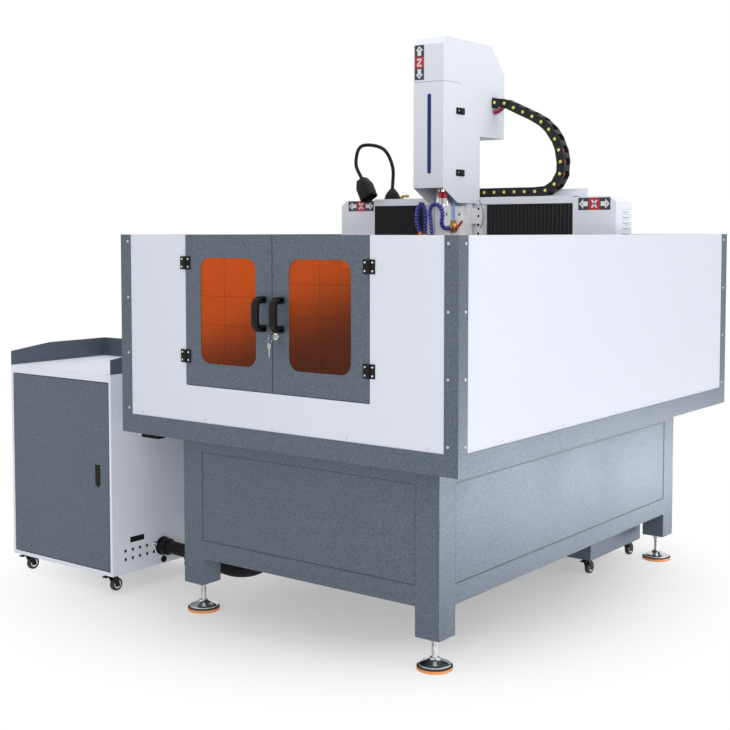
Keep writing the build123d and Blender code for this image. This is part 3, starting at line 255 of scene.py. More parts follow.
def nodeIslands(name):
    # the separate solids of a frame node, each as points and faces in metres
    source = bmesh.new()
    source.from_mesh(nodes[name].data)
    bmesh.ops.remove_doubles(source, verts=source.verts[:], dist=weld)
    source.verts.index_update()
    source.faces.index_update()
    seen, found = set(), []
    for first in source.verts:
        if first.index in seen:
            continue
        seen.add(first.index)
        group = [first]
        for v in group:  # the list grows as neighbours turn up
            for other in [e.other_vert(v) for e in v.link_edges]:
                if other.index not in seen:
                    seen.add(other.index)
                    group.append(other)
        order = {v.index: i for i, v in enumerate(group)}
        faces = {f.index: [order[v.index] for v in f.verts] for v in group for f in v.link_faces}
        found.append(([v.co.copy() for v in group], [faces[i] for i in sorted(faces)]))
    source.free()
    return found


def islandBox(points):
    points = [benchPoint(p) for p in points]
    return [min(axis) for axis in zip(*points)], [max(axis) for axis in zip(*points)]


# node helpers: a value is a fixed one or another node's socket
def feed(tree, node, values):
    for key, value in values.items():
        if isinstance(value, bpy.types.NodeSocket):
            tree.links.new(value, node.inputs[key])
        else:
            node.inputs[key].default_value = value


def addNode(tree, kind, values=None, **settings):
    node = tree.nodes.new(kind)
    for key, value in settings.items():
        setattr(node, key, value)
    feed(tree, node, values or {})
    return node


def calc(tree, operation, *values):
    return addNode(tree, "ShaderNodeMath", dict(enumerate(values)), operation=operation).outputs[0]


def mixColor(tree, factor, first, second):
    return addNode(tree, "ShaderNodeMix", {0: factor, 6: first, 7: second}, data_type="RGBA").outputs[2]


def mapRange(tree, value, low, high, toLow=0.0, toHigh=1.0, **settings):
    values = {"Value": value, "From Min": low, "From Max": high, "To Min": toLow, "To Max": toHigh}
    return addNode(tree, "ShaderNodeMapRange", values, **settings).outputs["Result"]


def noise(tree, place, scale, detail):
    return addNode(tree, "ShaderNodeTexNoise", {"Vector": place, "Scale": scale, "Detail": detail}).outputs["Fac"]


def objectPlace(tree):
    return addNode(tree, "ShaderNodeTexCoord").outputs["Object"]


def showMix(tree, end, factor, first, second):
    mix = addNode(tree, "ShaderNodeMixShader", {0: factor, 1: first, 2: second})
    feed(tree, tree.nodes[end], {"Surface": mix.outputs[0]})


# shared effects
white = (1, 1, 1, 1)
socketKinds = {1: "NodeSocketFloat", 3: "NodeSocketVector", 4: "NodeSocketColor"}
finishOutputs = {"Color": white, "Roughness": 0.0, "Height": 0.0}


def newGroup(name, inputs, outputs):
    group = bpy.data.node_groups.new(name, "ShaderNodeTree")
    for side, sockets in (("INPUT", inputs), ("OUTPUT", outputs)):
        for label, value in sockets.items():
            kind = socketKinds[len(value) if isinstance(value, tuple) else 1]
            group.interface.new_socket(name=label, in_out=side, socket_type=kind).default_value = value
    return group, group.nodes.new("NodeGroupInput").outputs, group.nodes.new("NodeGroupOutput")


coatLook = {"tilt": (0.7, 0.4, 0.3), "cloudScale": 3.0, "fleckBand": (0.4, 0.66), "dust": (0.02, 0.02, 0.025, 1),
            "roughSpread": 0.12}


def coatGroup(look):
    # fine flecks and slow clouds of tone over a coat, with an orange-peel height
    inputs = {"Color": white, "Fleck Color": white, "Fleck Scale": 400.0, "Fleck Amount": 0.3, "Cloud Amount": 0.1,
              "Roughness": 0.5, "Peel Scale": 300.0}
    tree, given, end = newGroup("coatFinish", inputs, finishOutputs)
    turn = {"Vector": objectPlace(tree), "Rotation": look["tilt"]}
    # tilted, so that no flat side lies in a plane of the noise
    place = addNode(tree, "ShaderNodeVectorRotate", turn, rotation_type="EULER_XYZ").outputs[0]
    fleck = mapRange(tree, noise(tree, place, given["Fleck Scale"], 2.0), *look["fleckBand"])
    cloud = noise(tree, place, look["cloudScale"], 3.0)
    share = calc(tree, "MULTIPLY", fleck, given["Fleck Amount"])
    flecked = mixColor(tree, share, given["Color"], given["Fleck Color"])
    dull = calc(tree, "MULTIPLY", cloud, given["Cloud Amount"])
    feed(tree, end, {"Color": mixColor(tree, dull, flecked, look["dust"]),
                     "Roughness": calc(tree, "MULTIPLY_ADD", cloud, look["roughSpread"], given["Roughness"]),
                     "Height": noise(tree, place, given["Peel Scale"], 1.0)})
    return tree


brushLook = {"band": (0.3, 0.7), "deepest": 0.35, "dark": (0.05, 0.05, 0.055, 1), "roughSpread": 0.2}


def brushGroup(look):
    # long fine scratches along one axis of bare metal
    inputs = {"Color": white, "Stretch": (40.0, 900.0, 900.0), "Roughness": 0.3}
    tree, given, end = newGroup("brushedMetal", inputs, finishOutputs)
    drawn = addNode(tree, "ShaderNodeVectorMath", {0: objectPlace(tree), 1: given["Stretch"]}, operation="MULTIPLY")
    grain = noise(tree, drawn.outputs[0], 1.0, 3.0)
    shade = mapRange(tree, grain, *look["band"], look["deepest"], 0.0)
    feed(tree, end, {"Color": mixColor(tree, shade, given["Color"], look["dark"]), "Height": grain,
                     "Roughness": calc(tree, "MULTIPLY_ADD", grain, look["roughSpread"], given["Roughness"])})
    return tree


edgeLook = {"radius": 0.0018, "strength": 0.6}


def edgeGroup(look):
    # softened edges plus a shallow relief
    tree, given, end = newGroup("softEdges", {"Height": 0.0, "Depth": 0.0002}, {"Normal": (0.0, 0.0, 0.0)})
    bevel = addNode(tree, "ShaderNodeBevel", {"Radius": look["radius"]}, samples=4)
    relief = {"Strength": look["strength"], "Height": given["Height"], "Distance": given["Depth"],
              "Normal": bevel.outputs[0]}
    feed(tree, end, {"Normal": addNode(tree, "ShaderNodeBump", relief).outputs[0]})
    return tree


coatFinish, brushedMetal, softEdges = coatGroup(coatLook), brushGroup(brushLook), edgeGroup(edgeLook)


# finishes: what a paint or metal doesn't name has the value given here
def newMaterial(name, values):
    skins[name] = bpy.data.materials.new(name)
    skins[name].use_nodes = True
    tree = skins[name].node_tree
    shader = tree.nodes["Principled BSDF"]
    feed(tree, shader, values)
    return tree, shader


def finished(name, look, group, values, depth):
    tree, shader = newMaterial(name, {
        "Metallic": look.get("metal", 0.0), "Coat Weight": look.get("coat", 0.0), "Coat Roughness": 0.2,
        "Specular IOR Level": look.get("specular", 0.5), "Sheen Weight": look.get("sheen", 0.0)})
    effect = addNode(tree, "ShaderNodeGroup", values, node_tree=group).outputs
    feed(tree, shader, {"Base Color": effect["Color"], "Roughness": effect["Roughness"]})
    if depth:
        relief = {"Height": effect["Height"], "Depth": depth}
        edges = addNode(tree, "ShaderNodeGroup", relief, node_tree=softEdges)
        feed(tree, shader, {"Normal": edges.outputs["Normal"]})


def coated(name, look):
    color = look["color"]
    fleck = look.get("fleck", [min(1.0, c * 1.5 + 0.01) for c in color])  # a little paler than the coat
    values = {"Color": (*color, 1), "Fleck Color": (*fleck, 1), "Fleck Scale": look.get("fleckScale", 500.0),
              "Fleck Amount": look.get("fleckAmount", 0.1), "Cloud Amount": look.get("cloud", 0.08),
              "Roughness": look["rough"], "Peel Scale": look.get("peelScale", 350.0)}
    finished(name, look, coatFinish, values, look.get("depth", 0.00008))


def brushed(name, look):
    values = {"Color": (*look["color"], 1), "Stretch": look["stretch"], "Roughness": look["rough"]}
    finished(name, {"metal": 1.0, **look}, brushedMetal, values, look.get("depth", 0.00003))


paints = {
    "hammerPaint": {"color": (0.080, 0.102, 0.130), "fleck": (0.23, 0.28, 0.34), "fleckScale": 330.0,
                    "fleckAmount": 0.55, "rough": 0.42, "metal": 0.55, "depth": 0.0001, "peelScale": 330.0},
    "whitePaint": {"color": (0.70, 0.73, 0.80), "fleck": (0.75, 0.78, 0.85), "fleckAmount": 0.3,
                   "cloud": 0.03, "rough": 0.52, "specular": 0.1, "depth": 0.00006},
    # a lighter copy of the white paint: painted light on the covers, the cabinet body and the louvre hoods
    "coverWhite": {"color": (0.79, 0.82, 0.89), "fleck": (0.83, 0.86, 0.93), "fleckAmount": 0.3,
                   "cloud": 0.03, "rough": 0.5, "specular": 0.12, "depth": 0.00006},
    # the plates' own white, made lighter as painted light against the tower's shadow on them
    "plateWhite": {"color": (0.84, 0.855, 0.89), "cloud": 0.05, "rough": 0.34},
    "castPaint": {"color": (0.20, 0.225, 0.25), "fleckAmount": 0.3, "rough": 0.5, "depth": 0.0003,
                  "peelScale": 120.0},
    "blackPlastic": {"color": (0.007, 0.007, 0.008), "fleckAmount": 0.3, "cloud": 0.0, "rough": 0.34,
                     "depth": 0.0001, "peelScale": 900.0, "specular": 0.14},
    "chainBlack": {"color": (0.012, 0.012, 0.013), "fleckAmount": 0.3, "cloud": 0.0, "rough": 0.42,
                   "specular": 0.25},
    "motorBlack": {"color": (0.016, 0.016, 0.018), "fleckAmount": 0.2, "rough": 0.35},
    "clothBlack": {"color": (0.009, 0.010, 0.013), "fleck": (0.035, 0.035, 0.04), "fleckScale": 1500.0,
                   "fleckAmount": 0.5, "cloud": 0.0, "rough": 0.6, "sheen": 0.15, "depth": 0.0002,
                   "peelScale": 1400.0},
    "rubberBlack": {"color": (0.013, 0.013, 0.013), "fleckAmount": 0.3, "cloud": 0.0, "rough": 0.5,
                    "depth": 0.0002, "peelScale": 700.0},
    "conduitBlack": {"color": (0.006, 0.006, 0.007), "fleckAmount": 0.3, "cloud": 0.0, "rough": 0.36,
                     "specular": 0.16},
    # black for small dark parts, also laid as painted shade inside holes, slots and vents
    "holeBlack": {"color": (0.004, 0.004, 0.005), "fleckAmount": 0.3, "cloud": 0.0, "rough": 0.7, "specular": 0.15},
    "wireGrey": {"color": (0.30, 0.31, 0.33), "fleckAmount": 0.2, "rough": 0.4},
    "redDip": {"color": (0.46, 0.015, 0.012), "rough": 0.25, "coat": 0.3},
    "redCable": {"color": (0.50, 0.03, 0.04), "rough": 0.35},
    "blueCable": {"color": (0.05, 0.06, 0.42), "rough": 0.35},
    "hoseBlue": {"color": (0.022, 0.028, 0.29), "rough": 0.3, "coat": 0.2},
    "tubeBlue": {"color": (0.12, 0.30, 0.62), "rough": 0.2, "coat": 0.3},
    "nozzleOrange": {"color": (0.80, 0.20, 0.035), "rough": 0.35},
    "padOrange": {"color": (0.86, 0.32, 0.10), "fleckAmount": 0.25, "rough": 0.5},
    "padDark": {"color": (0.045, 0.035, 0.03), "fleckAmount": 0.2, "rough": 0.5},
    "terminalGreen": {"color": (0.02, 0.17, 0.05), "fleckAmount": 0.2, "rough": 0.4},
    "stripBlue": {"color": (0.018, 0.042, 0.20), "rough": 0.3, "specular": 0.15},
    "screwWhite": {"color": (0.66, 0.68, 0.72), "rough": 0.3, "metal": 0.4},
    # printed flat, without relief
    "dotYellow": {"color": (0.72, 0.66, 0.12), "rough": 0.4, "depth": 0},
    "signNavy": {"color": (0.030, 0.032, 0.052), "rough": 0.3, "depth": 0},
    "signWhite": {"color": (0.80, 0.80, 0.82), "rough": 0.3, "depth": 0},
    "signRed": {"color": (0.46, 0.018, 0.035), "rough": 0.3, "depth": 0},
    "foldAmber": {"color": (0.075, 0.02, 0.008), "fleckAmount": 0.2, "rough": 0.7, "specular": 0.1, "depth": 0},
    # painted shade of the seam gaps round the base's infill
    "seamGrey": {"color": (0.05, 0.06, 0.075), "rough": 0.6, "depth": 0},
}
metals = {
    "railSteel": {"color": (0.60, 0.61, 0.63), "rough": 0.18, "stretch": (40.0, 900.0, 900.0)},
    "tableIron": {"color": (0.17, 0.175, 0.18), "rough": 0.45, "metal": 0.5, "stretch": (900.0, 30.0, 900.0)},
    "zincPlate": {"color": (0.52, 0.53, 0.53), "rough": 0.28, "stretch": (300.0, 300.0, 300.0)},
    "brightNickel": {"color": (0.78, 0.78, 0.79), "rough": 0.08, "stretch": (500.0, 500.0, 60.0)},
    "castBrass": {"color": (0.56, 0.33, 0.10), "rough": 0.25, "stretch": (400.0, 400.0, 400.0)},
}
for make, looks in ((coated, paints), (brushed, metals)):
    for name, look in looks.items():
        make(name, look)

# the darker colours used towards the window's foot are painted shade
windowLook = {"clear": (1.0, 0.31, 0.045, 1), "clearShaded": (0.50, 0.12, 0.03, 1), "film": (0.84, 0.215, 0.03, 1),
              "filmShaded": (0.20, 0.055, 0.022, 1), "filmShare": 0.26, "lowEdge": 0.81, "highEdge": 1.08, "lean": -0.3,
              "specular": 0.3, "cloudiness": {"Fleck Color": (0.75, 0.22, 0.04, 1), "Fleck Scale": 300.0,
                                              "Fleck Amount": 0.2, "Cloud Amount": 0.2, "Roughness": 0.12}}


def amberWindow(look):
    # tinted clear sheet under a thin cloudy film, darker towards the foot with painted shade
    tree, shader = newMaterial("amberWindow", {"Specular IOR Level": look["specular"]})
    split = addNode(tree, "ShaderNodeSeparateXYZ", {0: objectPlace(tree)}).outputs
    height = calc(tree, "MULTIPLY_ADD", split["X"], look["lean"], split["Z"])
    rise = mapRange(tree, height, look["lowEdge"], look["highEdge"], interpolation_type="SMOOTHSTEP")
    values = {"Color": mixColor(tree, rise, look["filmShaded"], look["film"]), **look["cloudiness"]}
    effect = addNode(tree, "ShaderNodeGroup", values, node_tree=coatFinish).outputs
    feed(tree, shader, {"Base Color": effect["Color"], "Roughness": effect["Roughness"]})
    tint = mixColor(tree, rise, look["clearShaded"], look["clear"])
    clear = addNode(tree, "ShaderNodeBsdfTransparent", {"Color": tint})
    showMix(tree, "Material Output", look["filmShare"], clear.outputs[0], shader.outputs[0])


amberWindow(windowLook)

# finishes of the solids that are shown as they are
dressed = {
    "hammerPaint": "base_frame drip_tray corner_posts left_door right_door cabinet_rim cabinet_door coolant_tank",
    "whitePaint": "front_panel side_panels rear_panel",
    "coverWhite": "beam_covers tower_cover tower_front_cover cabinet_body",
    "castPaint": "machine_bed gantry_portal",
    "railSteel": "linear_rails y_ball_screw x_ball_screw z_ball_screw spindle_shaft",
    "tableIron": "work_table",
    "motorBlack": "feed_motors z_motor",
    "amberWindow": "left_window right_window",
    "stripBlue": "level_strip",
    "plateWhite": "z_plate x_saddle",
    "brightNickel": "spindle_motor",
    "zincPlate": "door_key",
    "redDip": "valve_lever",
    "blackPlastic": "hinge_leaves conduit_glands cabinet_latch caster_plates caster_fork_front_left "
                    "caster_fork_front_right caster_fork_rear_left caster_fork_rear_right",
}
for skin, names in dressed.items():
    for name in names.split():
        nodes[name].data.materials.clear()
        nodes[name].data.materials.append(skins[skin])
print("finishes placed")

# flexible conduit from the cabinet to the machine, a corrugated tube along its own line
conduitLook = {
    "radius": 25.0, "ridge": 1.6, "ridgePitch": 9.0, "length": 1.008, "order": 3, "resolution": 72, "sides": 20,
    "route": [(-0.465, -0.634, 0.140), (-0.390, -0.634, 0.140), (-0.300, -0.634, 0.129), (-0.205, -0.634, 0.110),
              (-0.107, -0.634, 0.104), (-0.010, -0.634, 0.128), (0.073, -0.634, 0.184), (0.132, -0.634, 0.265),
              (0.161, -0.634, 0.361), (0.166, -0.634, 0.465), (0.166, -0.634, 0.612)],
}


def routeLine(look):
    curve = bpy.data.curves.new("conduitRoute", "CURVE")
    curve.dimensions = "3D"
    spline = curve.splines.new("NURBS")
    spline.points.add(len(look["route"]) - 1)
    for point, place in zip(spline.points, look["route"]):
        point.co = (*place, 1)
    spline.order_u = look["order"]
    spline.use_endpoint_u = True
    spline.resolution_u = look["resolution"]
    holder = bpy.data.objects.new("conduitRoute", curve)
    mesh = bpy.data.meshes.new_from_object(holder)
    line = [v.co.copy() for v in mesh.vertices]
    bpy.data.objects.remove(holder)
    return line


def addConduit(look):
    line = routeLine(look)
    gone, radii = 0.0, []
    for before, point in zip(line[:1] + line, line):
        gone += (point - before).length * 1000
        wave = 0.5 - 0.5 * math.cos(2 * math.pi * gone / look["ridgePitch"])
        radii.append((look["radius"] - look["ridge"] * wave) / 1000)
    tube = Form().tube(line, radii, look["sides"]).piece("corrugated_conduit", "conduitBlack", "machine",
                                                         "conduit_black", "conduit", metres=True)


addConduit(conduitLook)
print("conduit laid")

# screws of the enclosure
screwLook = {"radius": 4.6, "height": 2.6, "postInset": 36.0, "postRows": (740.0, 935.0, 1130.0, 1326.0),
             "panelRow": 730.0, "panelSpots": (-604.0, -302.0, 0.0, 302.0, 604.0), "panelInset": 2.0,
             "sideSpots": (-760.0, -380.0, 0.0, 380.0, 760.0), "halfWidth": 710.0, "halfDepth": 1010.0}


def addScrews(name, look, places, body, skin, slot):
    form = Form()
    radius, height = look["radius"], look["height"]
    head = [(radius, -0.4), (radius, height * 0.3), (radius * 0.78, height * 0.86), (radius * 0.46, height),
            (radius * 0.4, height * 0.4), (closed, height * 0.4)]  # button head with a socket
    for origin, axis in places:
        form.lathe(head, 14, 0, aimed(origin, axis))
    form.piece(name, skin, body, slot)


def enclosureScrews(look):
    w, d, inset, under = look["halfWidth"], look["halfDepth"], look["postInset"], look["panelInset"]
    places = []
    for z in look["postRows"]:
        for sx in (-1, 1):
            for sy in (-1, 1):
                places.append(((sx * (w - inset), sy * d, z), (0, sy, 0)))
                places.append(((sx * w, sy * (d - inset), z), (sx, 0, 0)))
    for x in look["panelSpots"]:
        places += [((x, sy * (d - under), look["panelRow"]), (0, sy, 0)) for sy in (-1, 1)]
    for y in look["sideSpots"]:
        places += [((sx * (w - under), y, look["panelRow"]), (sx, 0, 0)) for sx in (-1, 1)]
    addScrews("enclosure_screws", look, places, "machine", "screwWhite", "zinc")


enclosureScrews(screwLook)

# hinges: two screws on each leaf
hingeLook = {"axisX": 389.5, "heights": (940.0, 1255.0), "faceY": -1012.0, "reach": 14.0, "rise": 13.0,
             "radius": 4.0, "height": 2.2}


def hingeScrews(look):
    for side, leaf in ((-1, "left_leaf"), (1, "right_leaf")):
        for away, body, part in ((side, "machine", "frame"), (-side, leaf, "door")):
            x = side * look["axisX"] + away * look["reach"]
            places = [((x, look["faceY"], z + rise), (0, -1, 0))
                      for z in look["heights"] for rise in (-look["rise"], look["rise"])]
            addScrews(f"hinge_screws_{leaf}_{part}", look, places, body, "brightNickel", "bright_metal")


hingeScrews(hingeLook)

# bow handles, swept with a rounded grip, and the pieces that share their node
handleLook = {"x": 38.0, "low": 1039.0, "length": 114.0, "reach": 48.0, "faceY": -1008.0, "width": 26.0,
              "bar": 18.0, "gripRound": 6.0, "foot": 22.0, "footRound": 5.0, "footShare": 0.45, "bend": 24.0,
              "bow": [(0, 0.02), (0.08, 0.4), (0.3, 0.72), (0.62, 0.93), (1, 1)], "lockX": 17.0, "near": 4.0}


def addHandle(look, side, body, node):
    form = Form()
    half, bend, wide = look["bar"] / 2, look["bend"], look["width"]
    x, face, out = side * look["x"], look["faceY"], look["faceY"] - look["reach"] + half
    low, high = look["low"] + half, look["low"] + look["length"] - half
    mid = (low + high) / 2
    near = [(x, face, low), (x, out + bend, low)]
    near += [(x, out + bend * (1 - v), low + bend * u) for u, v in look["bow"]]
    path = near + [(x, out, mid)] + [(x, y, 2 * mid - z) for x, y, z in reversed(near)]
    form.tube(path, 1.0, 0, 0, roundedOutline(wide, look["bar"], look["gripRound"], 4), (1, 0, 0))
    for z in (low - half + look["foot"] / 2, high + half - look["foot"] / 2):
        form.prism(roundedOutline(wide, look["foot"], look["footRound"], 4), look["reach"] * look["footShare"], 0,
                   aimed((x, face, z), (0, -1, 0), (1, 0, 0)))
    form.piece(f"{body}_handle", "blackPlastic", body, "black_plastic", node)
    rest, lock = Form(), Form()
    for points, faces in nodeIslands(node):
        start, end = islandBox(points)
        centre = (start[0] + end[0]) / 2
        if abs(centre - x) > look["near"]:
            (lock if abs(centre - look["lockX"]) < look["near"] else rest).add(points, faces)
    rest.piece(f"{body}_hinges", "blackPlastic", body, "black_plastic", metres=True)
    if lock.points:
        lock.piece("lock_barrel", "brightNickel", body, "bright_metal", metres=True)


addHandle(handleLook, -1, "left_leaf", "left_fittings")
addHandle(handleLook, 1, "right_leaf", "right_fittings")

# fold lines in the film on the windows
foldLook = {"centre": 194.75, "middle": 1097.0, "width": 249.0, "height": 353.0, "front": -1006.15, "rear": -1005.9,
            "line": 0.8, "left_leaf": {"across": (0.36, 0.63), "down": (0.43,)},
            "right_leaf": {"across": (0.22, 0.52), "down": (0.5,)}}


def addFolds(look, side, body):
    form = Form()
    x0, z1 = side * look["centre"] - look["width"] / 2, look["middle"] + look["height"] / 2
    front, rear, line = look["front"], look["rear"], look["line"] / 2
    for share in look[body]["across"]:
        z = z1 - share * look["height"]
        form.box((x0, front, z - line), (x0 + look["width"], rear, z + line))
    for share in look[body]["down"]:
        x = x0 + share * look["width"]
        form.box((x - line, front, z1 - look["height"]), (x + line, rear, z1))
    form.piece(f"{body}_film_folds", "foldAmber", body, "amber_window")


addFolds(foldLook, -1, "left_leaf")
addFolds(foldLook, 1, "right_leaf")

# spare key on its ring, hanging from the key in the lock
keyLook = {"x": 17.0, "y": -1038.0, "z": 1026.0, "ring": 10.0, "ringSteps": 32, "lean": 0.35, "wire": 1.0,
           "bow": 10.0, "bowRound": 6.0, "bowThick": 2.4, "blade": 26.0, "bladeHalf": 3.6, "bladeZ": (0.2, 2.2)}


def addKeyRing(look):
    form = Form()
    bow, half, (low, high) = look["bow"], look["bladeHalf"], look["bladeZ"]
    centre = Vector((look["x"], look["y"], look["z"] - look["ring"] + 1))
    ring = [centre + Vector((look["lean"] * math.sin(a), math.cos(a), math.sin(a))) * look["ring"]
            for a in circle(look["ringSteps"]) + [2 * math.pi]]
    form.tube(ring, look["wire"], 8)
    place = aimed(centre + Vector((-2, 0, -look["ring"])), (-look["lean"], -1, 0), (0, 0, 1))
    outline = roundedOutline(2 * bow, 2.1 * bow, look["bowRound"])
    form.prism([(px - bow, py) for px, py in outline], look["bowThick"], 0, place)
    form.box((-bow * 2 - look["blade"], -half, low), (-bow * 2 + 1, half, high), 0.3, 0, place)
    form.piece("spare_key", "zincPlate", "key", "bright_metal")


addKeyRing(keyLook)
print("enclosure fittings added")

# bellows: one piece for each pleat
bellowsLook = {"inner": 86.3, "outer": 456.7, "front": 144.0, "depth": 14.4, "low": 1215.0, "high": 1465.0,
               "pleats": 22, "sheet": 1.6, "sharp": 20.0}


def foldedPleat(start, step, low, high, sheet, side):
    # one out-and-back fold as an outline, first coordinate along the run
    front = [(side * start, low), (side * (start + step), high), (side * (start + 2 * step), low)]
    return front + [(u, v + sheet) for u, v in reversed(front)]


def pleatStarts(look):
    step = (look["outer"] - look["inner"]) / (2 * look["pleats"])
    return step, [look["inner"] + 2 * step * i for i in range(look["pleats"])]


def pleatPiece(form, look, node, i):
    return form.piece(f"{node}_pleat_{i:02d}", "clothBlack", None, "bellows_black", None if i else node,
                      sharp=look["sharp"])


def addBellows(look, side, node):
    step, starts = pleatStarts(look)
    y, z = look["front"], look["low"]
    for i, begin in enumerate(starts):
        fold = foldedPleat(begin, step, y, y + look["depth"], look["sheet"], side)
        form = Form().prism(fold, look["high"] - z, 0, Matrix.Translation((0, 0, z)))
        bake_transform(pleatPiece(form, look, node, i))


addBellows(bellowsLook, -1, "bellows_left")
addBellows(bellowsLook, 1, "bellows_right")

# way covers over the bed, folded the same way between the table and the bed's ends
wayLook = {"inner": 520.0, "outer": 950.0, "low": 855.0, "high": 870.0, "half": 260.0, "skirt": 804.0, "pleats": 13,
           "sheet": 2.0, "sharp": 20.0}


def addWayCover(look, end, node):
    step, starts = pleatStarts(look)
    half, low, sheet = look["half"], look["low"], look["sheet"]
    turn = Matrix(((0, 0, 1, -half), (1, 0, 0, 0), (0, 1, 0, 0), (0, 0, 0, 1)))  # outline in y and z
    for i, begin in enumerate(starts):
        form = Form().prism(foldedPleat(begin, step, low, look["high"], sheet, end), 2 * half, 0, turn)
        run = sorted((end * begin, end * (begin + 2 * step)))
        for left in (-half, half - sheet):
            form.box((left, run[0], look["skirt"]), (left + sheet, run[1], low))
        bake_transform(pleatPiece(form, look, node, i))


addWayCover(wayLook, -1, "way_cover_front")
addWayCover(wayLook, 1, "way_cover_rear")
print("bellows folded")

# cable chain: links along a rounded line, yellow pin caps, cables showing between the bars
chainLook = {"route": [(-10.0, 1513.5), (371.0, 1513.5), (371.0, 1741.0), (112.0, 1862.0), (79.75, 1862.0)],
             "radii": (88.0, 205.0, 60.0), "arcSteps": 16, "y": 230.0, "width": 50.0, "height": 35.0, "plate": 3.0,
             "plateShare": 0.94, "lap": 0.9, "pitch": 44.5, "cap": 6.2, "bar": 3.0, "barShare": 0.24, "barInset": 4.0,
             "cable": 5.5, "cables": ((-14.0, 2), (-4.0, 3), (6.0, 2), (15.0, 0)),
             "bracket": ((-12.75, -22.0, -20.0), (-8.75, 22.0, 20.0)),
             "foot": ((0.0, -25.0, -20.5), (40.0, 25.0, -17.5)), "blendFrom": 20.0, "blendTo": -22.0}


def filletLine(corners, radii, arcSteps):
    # straight runs joined by arcs
    line = [Vector(corners[0])]
    for before, corner, after, radius in zip(corners, corners[1:], corners[2:], radii):
        before, corner, after = Vector(before), Vector(corner), Vector(after)
        into, out = (corner - before).normalized(), (after - corner).normalized()
        turn = into.angle(out)
        first = corner - into * radius * math.tan(turn / 2)
        inward = (out - into * out.dot(into)).normalized()
        centre = first + inward * radius
        for k in range(arcSteps + 1):
            a = turn * k / arcSteps
            line.append(centre - inward * radius * math.cos(a) + into * radius * math.sin(a))
    return line + [Vector(corners[-1])]


def stadium(length, height, arc=8):
    half, radius = length / 2, height / 2
    right = [(half + radius * math.cos(a), radius * math.sin(a))
             for a in [math.pi * (k / arc - 0.5) for k in range(arc + 1)]]
    return right + [(-x, -y) for x, y in right]


def addLink(form, look, a, b, odd):
    half, plate, bar = look["width"] / 2, look["plate"], look["bar"] / 2
    place = aimed((a + b) / 2, (0, -1, 0), (b - a).normalized())
    reach = (b - a).length
    shift = plate * odd * look["lap"]
    for low in (shift - half, half - shift - plate):
        form.prism(stadium(reach, look["height"] * look["plateShare"]), plate, 0,
                   place @ Matrix.Translation((0, 0, low)))
    along, across = reach * look["barShare"], half - look["barInset"]
    for rise in (-1, 1):
        form.box((-along, -bar, -across), (along, bar, across), 0.6, 0,
                 place @ Matrix.Translation((0, rise * (look["height"] / 2 - look["bar"]), 0)))


def addChain(look):
    form = Form()
    y, half, cap = look["y"], look["width"] / 2, look["cap"]
    route = [(x, y, z) for x, z in look["route"]]
    line = evenSteps(filletLine(route, look["radii"], look["arcSteps"]), look["pitch"])
    for i, (a, b) in enumerate(zip(line, line[1:])):
        addLink(form, look, a, b, i % 2)
    for joint in line:
        for edge in (-1, 1):
            form.lathe([(cap, -0.5), (cap, 0.7), (cap * 0.7, 1.4), (closed, 1.4)], 14, 1,
                       aimed(joint - Vector((0, edge * half, 0)), (0, -edge, 0)))
    for row, skin in look["cables"]:
        form.tube([p + Vector((0, row, 0)) for p in line], look["cable"], 8, skin)
    form.boxAt(route[-1], look["bracket"], 1.0)
    form.boxAt(route[0], look["foot"], 0.5)
    chain = form.piece("cable_chain", "chainBlack dotYellow redCable blueCable", None, "chain_black", "drag_chain")
    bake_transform(chain)


addChain(chainLook)
print("chain linked")

# axis signs: arrows either side of a red square with its letter
signLook = {"thick": 0.6, "print": 0.15, "letterThick": 0.12, "hollowThick": 0.25, "letterWidth": 0.15, "shaft": 0.42,
            "neck": 0.02, "wide": 0.4, "thin": 0.19, "hollowTip": 0.2, "hollowFoot": 0.08, "hollowWide": 0.42,
            "X": [((-0.22, -0.3), (0.22, 0.3)), ((-0.22, 0.3), (0.22, -0.3))],
            "Z": [((-0.24, 0.28), (0.24, 0.28)), ((0.22, 0.26), (-0.22, -0.26)), ((-0.24, -0.28), (0.24, -0.28))],
            "sharp": 20.0, "signs": {"x_sign_right": ((544.5, 144, 1461.5), 129, 45, "X", "machine"),
                                     "x_sign_left": ((-528, 144, 1466), 132, 42, "X", "machine"),
                                     "z_sign": ((-41, -132, 1989.5), 42, 129, "Z", "x_carriage")}}


def addSign(name, look, centre, width, height, letter, body):
    form = Form()
    place = aimed(centre, (0, -1, 0), (1, 0, 0))
    form.prism(plainOutline(width, height), look["thick"], 0, place)
    size = min(width, height)
    lift = place @ Matrix.Translation((0, 0, look["thick"]))
    form.prism(plainOutline(size, size), look["print"], 2, lift)
    raised = lift @ Matrix.Translation((0, 0, look["print"]))
    for (x0, y0), (x1, y1) in look[letter]:
        a, b = Vector((x0 * size, y0 * size)), Vector((x1 * size, y1 * size))
        side = (b - a).orthogonal().normalized() * size * look["letterWidth"] / 2
        form.prism([tuple(p) for p in (a - side, b - side, b + side, a + side)], look["letterThick"], 1, raised)
    room = (max(width, height) - size) / 2
    wide, thin = size * look["wide"], size * look["thin"]
    for way in (-1, 1):
        mid = way * (size + room) / 2
        tip, tail = mid + way * room * look["shaft"], mid - way * room * look["shaft"]
        neck = mid + way * room * look["neck"]
        inner, mouth = neck + way * size * look["hollowFoot"], wide * look["hollowWide"]
        arrow = [(tip, 0), (neck, wide), (neck, thin), (tail, thin), (tail, -thin), (neck, -thin), (neck, -wide)]
        hollow = [(tip - way * size * look["hollowTip"], 0), (inner, mouth), (inner, -mouth)]
        for outline, depth, skin in ((arrow, look["print"], 1), (hollow, look["hollowThick"], 0)):
            outline = outline if width > height else [(-v, u) for u, v in outline]
            form.prism(outline, depth, skin, lift)
    form.piece(name, "signNavy signWhite signRed", body, "white_paint", sharp=look["sharp"])


for name, sign in signLook["signs"].items():
    addSign(name, signLook, *sign)

